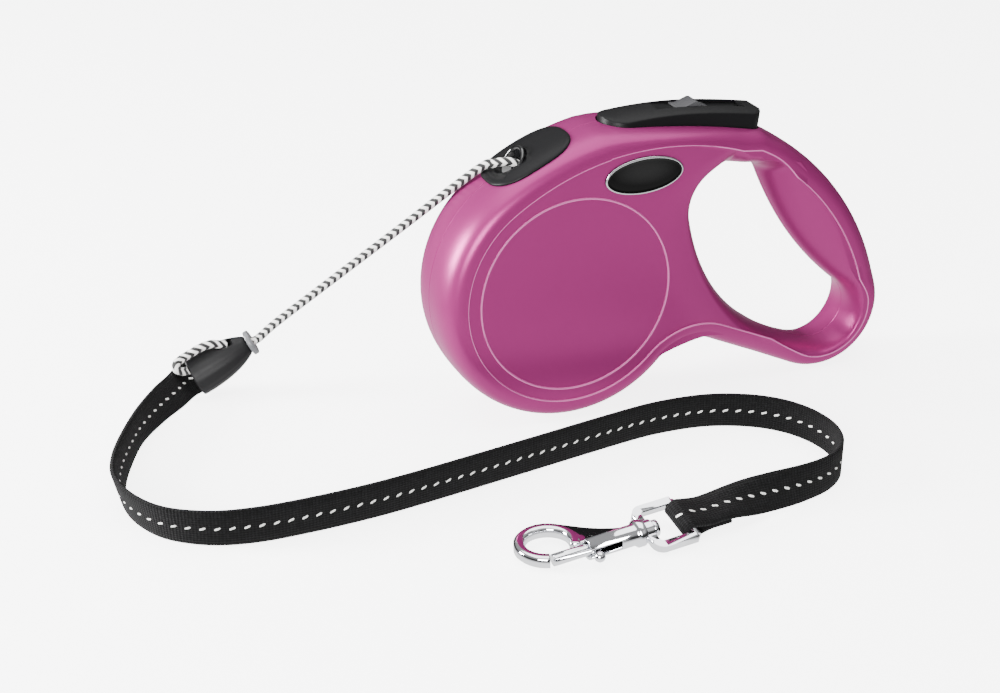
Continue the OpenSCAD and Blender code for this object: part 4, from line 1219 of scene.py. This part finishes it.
class LEASH_OT_cord(bpy.types.Operator):
    """Lays the braided cord from the spool through the outlet to the connector"""

    bl_idname = "leash.cord"
    bl_label = "Cord"

    def execute(self, context):
        s = context.scene.leash_project.leash
        route = [EYELET + Vector(p) for p in CORD_FROM_EYELET] + [Vector(p) for p in CORD_HANGING]
        route += [on_bullet(0, 0, BULLET_LENGTH + z) for z in CORD_PAST_NOSE]
        points = spline(route, 6)
        made = braided_tube("braided_cord", points, s.cord_width / MM)
        dress(made, "braid", "housing", "cord", "cord")
        loop = spline([on_bullet(*p) for p in LOOP_POINTS], 5)
        tail = braided_tube("braided_loop", loop, s.cord_width / MM)
        dress(tail, "braid", "housing", "cord", "cord_loop")
        return {"FINISHED"}


BULLET_FORM = [
    (0, 0.97), (0.015, 0.99), (0.04, 1), (0.2, 1), (0.4, 0.96), (0.6, 0.87), (0.78, 0.73), (0.92, 0.56),
    (0.98, 0.46), (1, 0.4),
]
BULLET_ROOM = [(0.7, 0.7), (0.4, 0.96), (0, 1)]
BULLET_WALL = 1
BULLET_SIDES = 96
FLUTES = 16
FLUTE_DEPTH = 0.018
CORD_HOLE = (2.8, 1.4, 16.6), (7.6, 5.5, 9.2)
COLLAR_RISE = 1.2


def bullet_ring(share, wide, deep, flute=0.0):
    """One oval section of the bullet connector at a share of its length, with shallow flutes."""
    fade = math.sin(math.pi * min(1, share * 1.02)) ** 0.5
    found = []
    for k in range(BULLET_SIDES):
        a = -math.tau * k / BULLET_SIDES
        r = 1 - flute * (0.5 - 0.5 * math.cos(FLUTES * a)) * fade
        x, y = r * wide / 2 * math.cos(a), r * deep / 2 * math.sin(a)
        found.append(on_bullet(x, y, share * BULLET_LENGTH))
    return found


class LEASH_OT_connector(bpy.types.Operator):
    """Models the bullet connector and the stop collar on the cord"""

    bl_idname = "leash.connector"
    bl_label = "Connector"

    def execute(self, context):
        cord = context.scene.leash_project.leash.cord_width / MM
        bore = cord + 2 * LOOSE
        wall = 2 * BULLET_WALL
        form = spline([Vector(p) for p in BULLET_FORM], 3)
        sections = [bullet_ring(a, BULLET_WIDTH * b, BULLET_DEPTH * b, FLUTE_DEPTH) for a, b in form]
        sections += [bullet_ring(a, bore, bore) for a in (1, 0.74)]
        sections += [bullet_ring(a, BULLET_WIDTH * b - wall, BULLET_DEPTH * b - wall) for a, b in BULLET_ROOM]
        cap = swept("bullet_cap", sections, closed=True)
        first, last = [on_bullet(*p) for p in CORD_HOLE]
        place = facing((first + last) / 2, last - first)
        cut(cap, round_cutter(cord / 2 + 2 * LOOSE, (last - first).length, place, 32))
        dress(cap, "connector", "housing", "connector", "bullet_connector")
        inner = cord / 2 + LOOSE
        half = [(inner, 0.8), (inner + 0.2, 0.9), (4.0, 0.9), (4.35, 0.78), (4.5, 0.45)]
        profile = [(r, -h) for r, h in half] + half[::-1]
        at = on_bullet(0, 0, BULLET_LENGTH + COLLAR_RISE)
        disc = spun("stop_collar_disc", profile, 64, facing(at, NOSE_WAY))
        dress(disc, "collar", "housing", "collar", "stop_collar")
        return {"FINISHED"}


STRAP_ROUND = 0.3


class LEASH_OT_strap(bpy.types.Operator):
    """Lays the webbing strap on edge and round the snap's eye"""

    bl_idname = "leash.strap"
    bl_label = "Strap"

    def execute(self, context):
        s = context.scene.leash_project.leash
        wide = s.strap_width / MM / 2
        deep = s.strap_depth / MM / 2
        middle, widths = strap_route(s.strap_depth / MM)
        flat = (-wide + STRAP_ROUND, -wide / 2, 0, wide / 2, wide - STRAP_ROUND)
        outline = [(-wide, -0.5), *[(x, -1) for x in flat], (wide, -0.5)]
        outline += [(-x, -y) for x, y in outline]
        sections = []
        for p, way, width in zip(middle, ways(middle), widths):
            out = width.cross(way).normalized()
            across = way.cross(out)
            sections.append([p + x * across + y * deep * out for x, y in outline])
        bm = bmesh.new()
        rings = sweep(bm, sections)
        unroll(bm, rings, runs(middle), [x for x, y in outline] + [outline[0][0]])
        made = as_object(bm, "webbing_strap")
        dress(made, "woven", "housing", "strap", "webbing", sharp=60)
        return {"FINISHED"}


class LEASH_OT_housing(bpy.types.Operator):
    """Models the two moulded halves of the housing"""

    bl_idname = "leash.housing"
    bl_label = "Housing"

    def execute(self, context):
        project = context.scene.leash_project
        plan = HousingPlan(project.housing)
        for side, name, node_name in ((-1, "housing_near", "near_shell"), (1, "housing_far", "far_shell")):
            made = half_shell(plan, project.brake, name, side)
            join(made, ring_bead(plan, side))
            dress(made, "pearl crest", "housing", "housing", node_name, sharp=38)
        return {"FINISHED"}


BADGE_STEPS = (
    (0, 0), (0, 0.45), (0.12, 0.62), (0.4, 0.7), (0.6, 0.66), (0.75, 0.58), (1.6, 0.62), (3, 0.68), (5, 0.7),
)


class LEASH_OT_badge(bpy.types.Operator):
    """Models the bare oval badge with its silver rim"""

    bl_idname = "leash.badge"
    bl_label = "Badge"

    def execute(self, context):
        project = context.scene.leash_project
        s = project.brake
        place = badge_place(HousingPlan(project.housing))
        half_l, half_w = s.badge_length / MM / 2, s.badge_width / MM / 2
        turns = [math.tau * k / 96 for k in range(96)]
        sections = []
        for inset, height in BADGE_STEPS:
            along, up = half_l - inset, half_w - inset
            sections.append([place @ Vector((along * math.cos(a), up * math.sin(a), height)) for a in turns])
        bm = bmesh.new()
        mark(bm, sweep(bm, sections)[1:5])
        made = as_object(bm, "oval_badge_plate")
        dress(made, "badge silver", "housing", "badge", "oval_badge", sharp=50)
        return {"FINISHED"}


EYELET_LIP = [
    (3, -1.5), (5.2, -1.5), (5.4, -0.6), (5.5, 0.1), (5.9, 0.5), (6, 0.9), (5.8, 1.25), (5.4, 1.4), (5, 1.3),
    (4.6, 1), (4.2, 0.5), (3.8, -0.1), (3.4, -0.6), (3.1, -1), (2.9, -1.3),
]


class LEASH_OT_outlet(bpy.types.Operator):
    """Models the outlet's bezel and its polished eyelet"""

    bl_idname = "leash.outlet"
    bl_label = "Outlet"

    def execute(self, context):
        plate = copy_of("outlet_bezel", "outlet_plate")
        dress(plate, "black", "housing", "black_trim", "outlet_bezel", sharp=45)
        ring = spun("outlet_ring", EYELET_LIP, 96, facing(EYELET, EYELET_WAY))
        dress(ring, "polished", "housing", "eyelet", "outlet_eyelet", sharp=80)
        return {"FINISHED"}


BUTTON_FOOT = -5
BUTTON_BOW_FRONT = 150
BUTTON_BOW_REAR = 330
BUTTON_EDGE = ((0, 0.4), (0.1, 0.12), *[(inset, 0) for inset in (0.35, 1.5, 3, 4.5, 6, 7.2, 7.9)])
TRACK_LENGTH = 33
TRACK_MIDDLE = 39.5
TRACK_FLOOR = 4.95
TRACK_HEIGHT = 6
TRACK_ROOM = 0.8
HINGE_AT = (57, 0, -6.2)
HINGE_R = 2.6
HINGE_WIDTH = 11
PIN_R = 1.55
WEDGE = [(-6.3, 0), (6.3, 0), (6.3, 0.5), (5, 0.6), (1.1, 2.7), (0.2, 2.7), (-4, 0.6), (-6.3, 0.5)]
WEDGE_AT = (37.1, 0, TRACK_FLOOR + 0.05)


def button_top(s, t, y):
    """The height of the button's arched top above its seat."""
    bow = BUTTON_BOW_FRONT if t < BUTTON_CREST else BUTTON_BOW_REAR
    edge = s.button_height / MM - (t - BUTTON_CREST) ** 2 / (2 * bow)
    return edge + s.button_arch / MM * (1 - (y / (s.button_width / MM / 2)) ** 2)


class LEASH_OT_brake(bpy.types.Operator):
    """Models the brake button, its lock slider and its return spring"""

    bl_idname = "leash.brake"
    bl_label = "Brake"

    def execute(self, context):
        project = context.scene.leash_project
        s = project.brake
        seat = Matrix.Translation(AXIS) @ HousingPlan(project.housing).on_seat()
        sections = [[seat @ Vector((t, y, BUTTON_FOOT)) for t, y in button_plan(s, 0)]]
        for inset, drop in BUTTON_EDGE:
            plan = button_plan(s, -inset)
            sections.append([seat @ Vector((t, y, button_top(s, t, y) - drop)) for t, y in plan])
        button = swept("brake_thumb_button", sections)
        track = (TRACK_LENGTH, s.slider_width / MM + TRACK_ROOM, TRACK_HEIGHT)
        middle = (TRACK_MIDDLE, 0, TRACK_FLOOR + TRACK_HEIGHT / 2)
        cut(button, box_cutter(track, seat @ Matrix.Translation(middle)))
        hinge = seat @ Matrix.Translation(HINGE_AT) @ ALONG_Y
        cut(button, round_cutter(HINGE_R, HINGE_WIDTH, hinge), "UNION")
        cut(button, round_cutter(PIN_R, HINGE_WIDTH + 1, hinge))
        dress(button, "black", "brake", "black_trim", "brake_button", sharp=35)
        wide = s.slider_width / MM / 2
        at = seat @ Matrix.Translation(WEDGE_AT)
        bm = bmesh.new()
        sweep(bm, [[at @ Vector((x, y, z)) for x, z in WEDGE] for y in (-wide, wide)])
        corners = [e for e in bm.edges if e.calc_face_angle(0) > 0.5]
        bmesh.ops.bevel(bm, geom=corners, offset=0.15, segments=2, profile=0.5, affect="EDGES", material=-1)
        dress(as_object(bm, "lock_wedge"), "slider", "lock", "slider", "lock_slider", sharp=30)
        coil = copy_of("brake_return_spring", "return_coil")
        dress(coil, "steel", "housing", "steel", "brake_return_spring", sharp=60)
        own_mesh(coil)
        return {"FINISHED"}


class LEASH_OT_snap(bpy.types.Operator):
    """Finishes the swivel eye, the hook and the bolt of the snap"""

    bl_idname = "leash.snap"
    bl_label = "Bolt snap"

    def execute(self, context):
        dress(copy_of("swivel_eye", "snap_eye"), "chrome", "eye", "chrome", "swivel_eye", sharp=40)
        dress(copy_of("snap_hook", "snap_body"), "chrome", "snap", "chrome", "snap_hook", sharp=50)
        dress(copy_of("snap_bolt", "snap_slide"), "chrome", "bolt", "chrome", "snap_bolt", sharp=40)
        return {"FINISHED"}


HUB_WOUND_R = 22.1
WOUND_LAYERS = 3
WOUND_ROWS = 4
WOUND_PITCH = 3
SCREW_TIP = -5
PLAIN = {
    "steel": ("brake_tongue", "brake_hinge_pin", "axle", "power_spring"),
    "brass": ("spool_bush",),
    "spool": ("spool_drum", "ratchet_disc", "spring_cover"),
}


class LEASH_OT_inside(bpy.types.Operator):
    """Winds the stored cord and finishes the inner parts"""

    bl_idname = "leash.inside"
    bl_label = "Inner parts"

    def execute(self, context):
        d = context.scene.leash_project.leash.cord_width / MM
        bm = bmesh.new()
        for layer in range(WOUND_LAYERS):
            for row in range(WOUND_ROWS):
                ring = bmesh.ops.create_circle(bm, segments=10, radius=d / 2 - 0.02)["verts"]
                out = HUB_WOUND_R + d / 2 + layer * (d + 0.1)
                at = Matrix.Translation((out, 0, (row - (WOUND_ROWS - 1) / 2) * WOUND_PITCH))
                bmesh.ops.transform(bm, matrix=at @ ALONG_Y, verts=ring)
                spin(bm, ring, list({e for v in ring for e in v.link_edges}), 64)
        bmesh.ops.remove_doubles(bm, verts=bm.verts, dist=MERGE)
        made = placed(bm, "stored_cord", Matrix.Translation(AXIS) @ ALONG_Y)
        dress(made, "spool", "spool", "cord", "wound_cord", sharp=80)
        screws = copy_of("housing_screws", "shell_screws")
        for v in screws.data.vertices:
            v.co.y = max(v.co.y, SCREW_TIP * MM)
        dress(screws, "steel", "housing", "steel", "housing_screws", sharp=40)
        for kind, names in PLAIN.items():
            for name in names:
                paint(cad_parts[name], kind)
        return {"FINISHED"}


class LEASH_PT_panel(bpy.types.Panel):
    """Lists the leash's pieces in the sidebar"""

    bl_idname = "LEASH_PT_panel"
    bl_label = "Retractable leash"
    bl_space_type = "VIEW_3D"
    bl_region_type = "UI"
    bl_category = "Leash"

    def draw(self, context):
        for step in STEPS:
            self.layout.operator(step.bl_idname)


STEPS = (
    LEASH_OT_stage,
    LEASH_OT_connector,
    LEASH_OT_snap,
    LEASH_OT_cord,
    LEASH_OT_strap,
    LEASH_OT_housing,
    LEASH_OT_badge,
    LEASH_OT_outlet,
    LEASH_OT_brake,
    LEASH_OT_inside,
)
CLASSES = (
    HousingSettings, BrakeSettings, LeashSettings, StageSettings, LeashProject, *STEPS, LEASH_PT_panel,
)


def register():
    """Registers the classes and the settings."""
    for item in CLASSES:
        bpy.utils.register_class(item)
    bpy.types.Scene.leash_project = PointerProperty(type=LeashProject)


def unregister():
    """Removes the settings and the classes."""
    del bpy.types.Scene.leash_project
    for item in reversed(CLASSES):
        bpy.utils.unregister_class(item)


def main():
    """Makes every piece in order."""
    register()
    for step in STEPS:
        getattr(bpy.ops.leash, step.bl_idname.split(".")[1])()


if __name__ == "__main__":
    main()
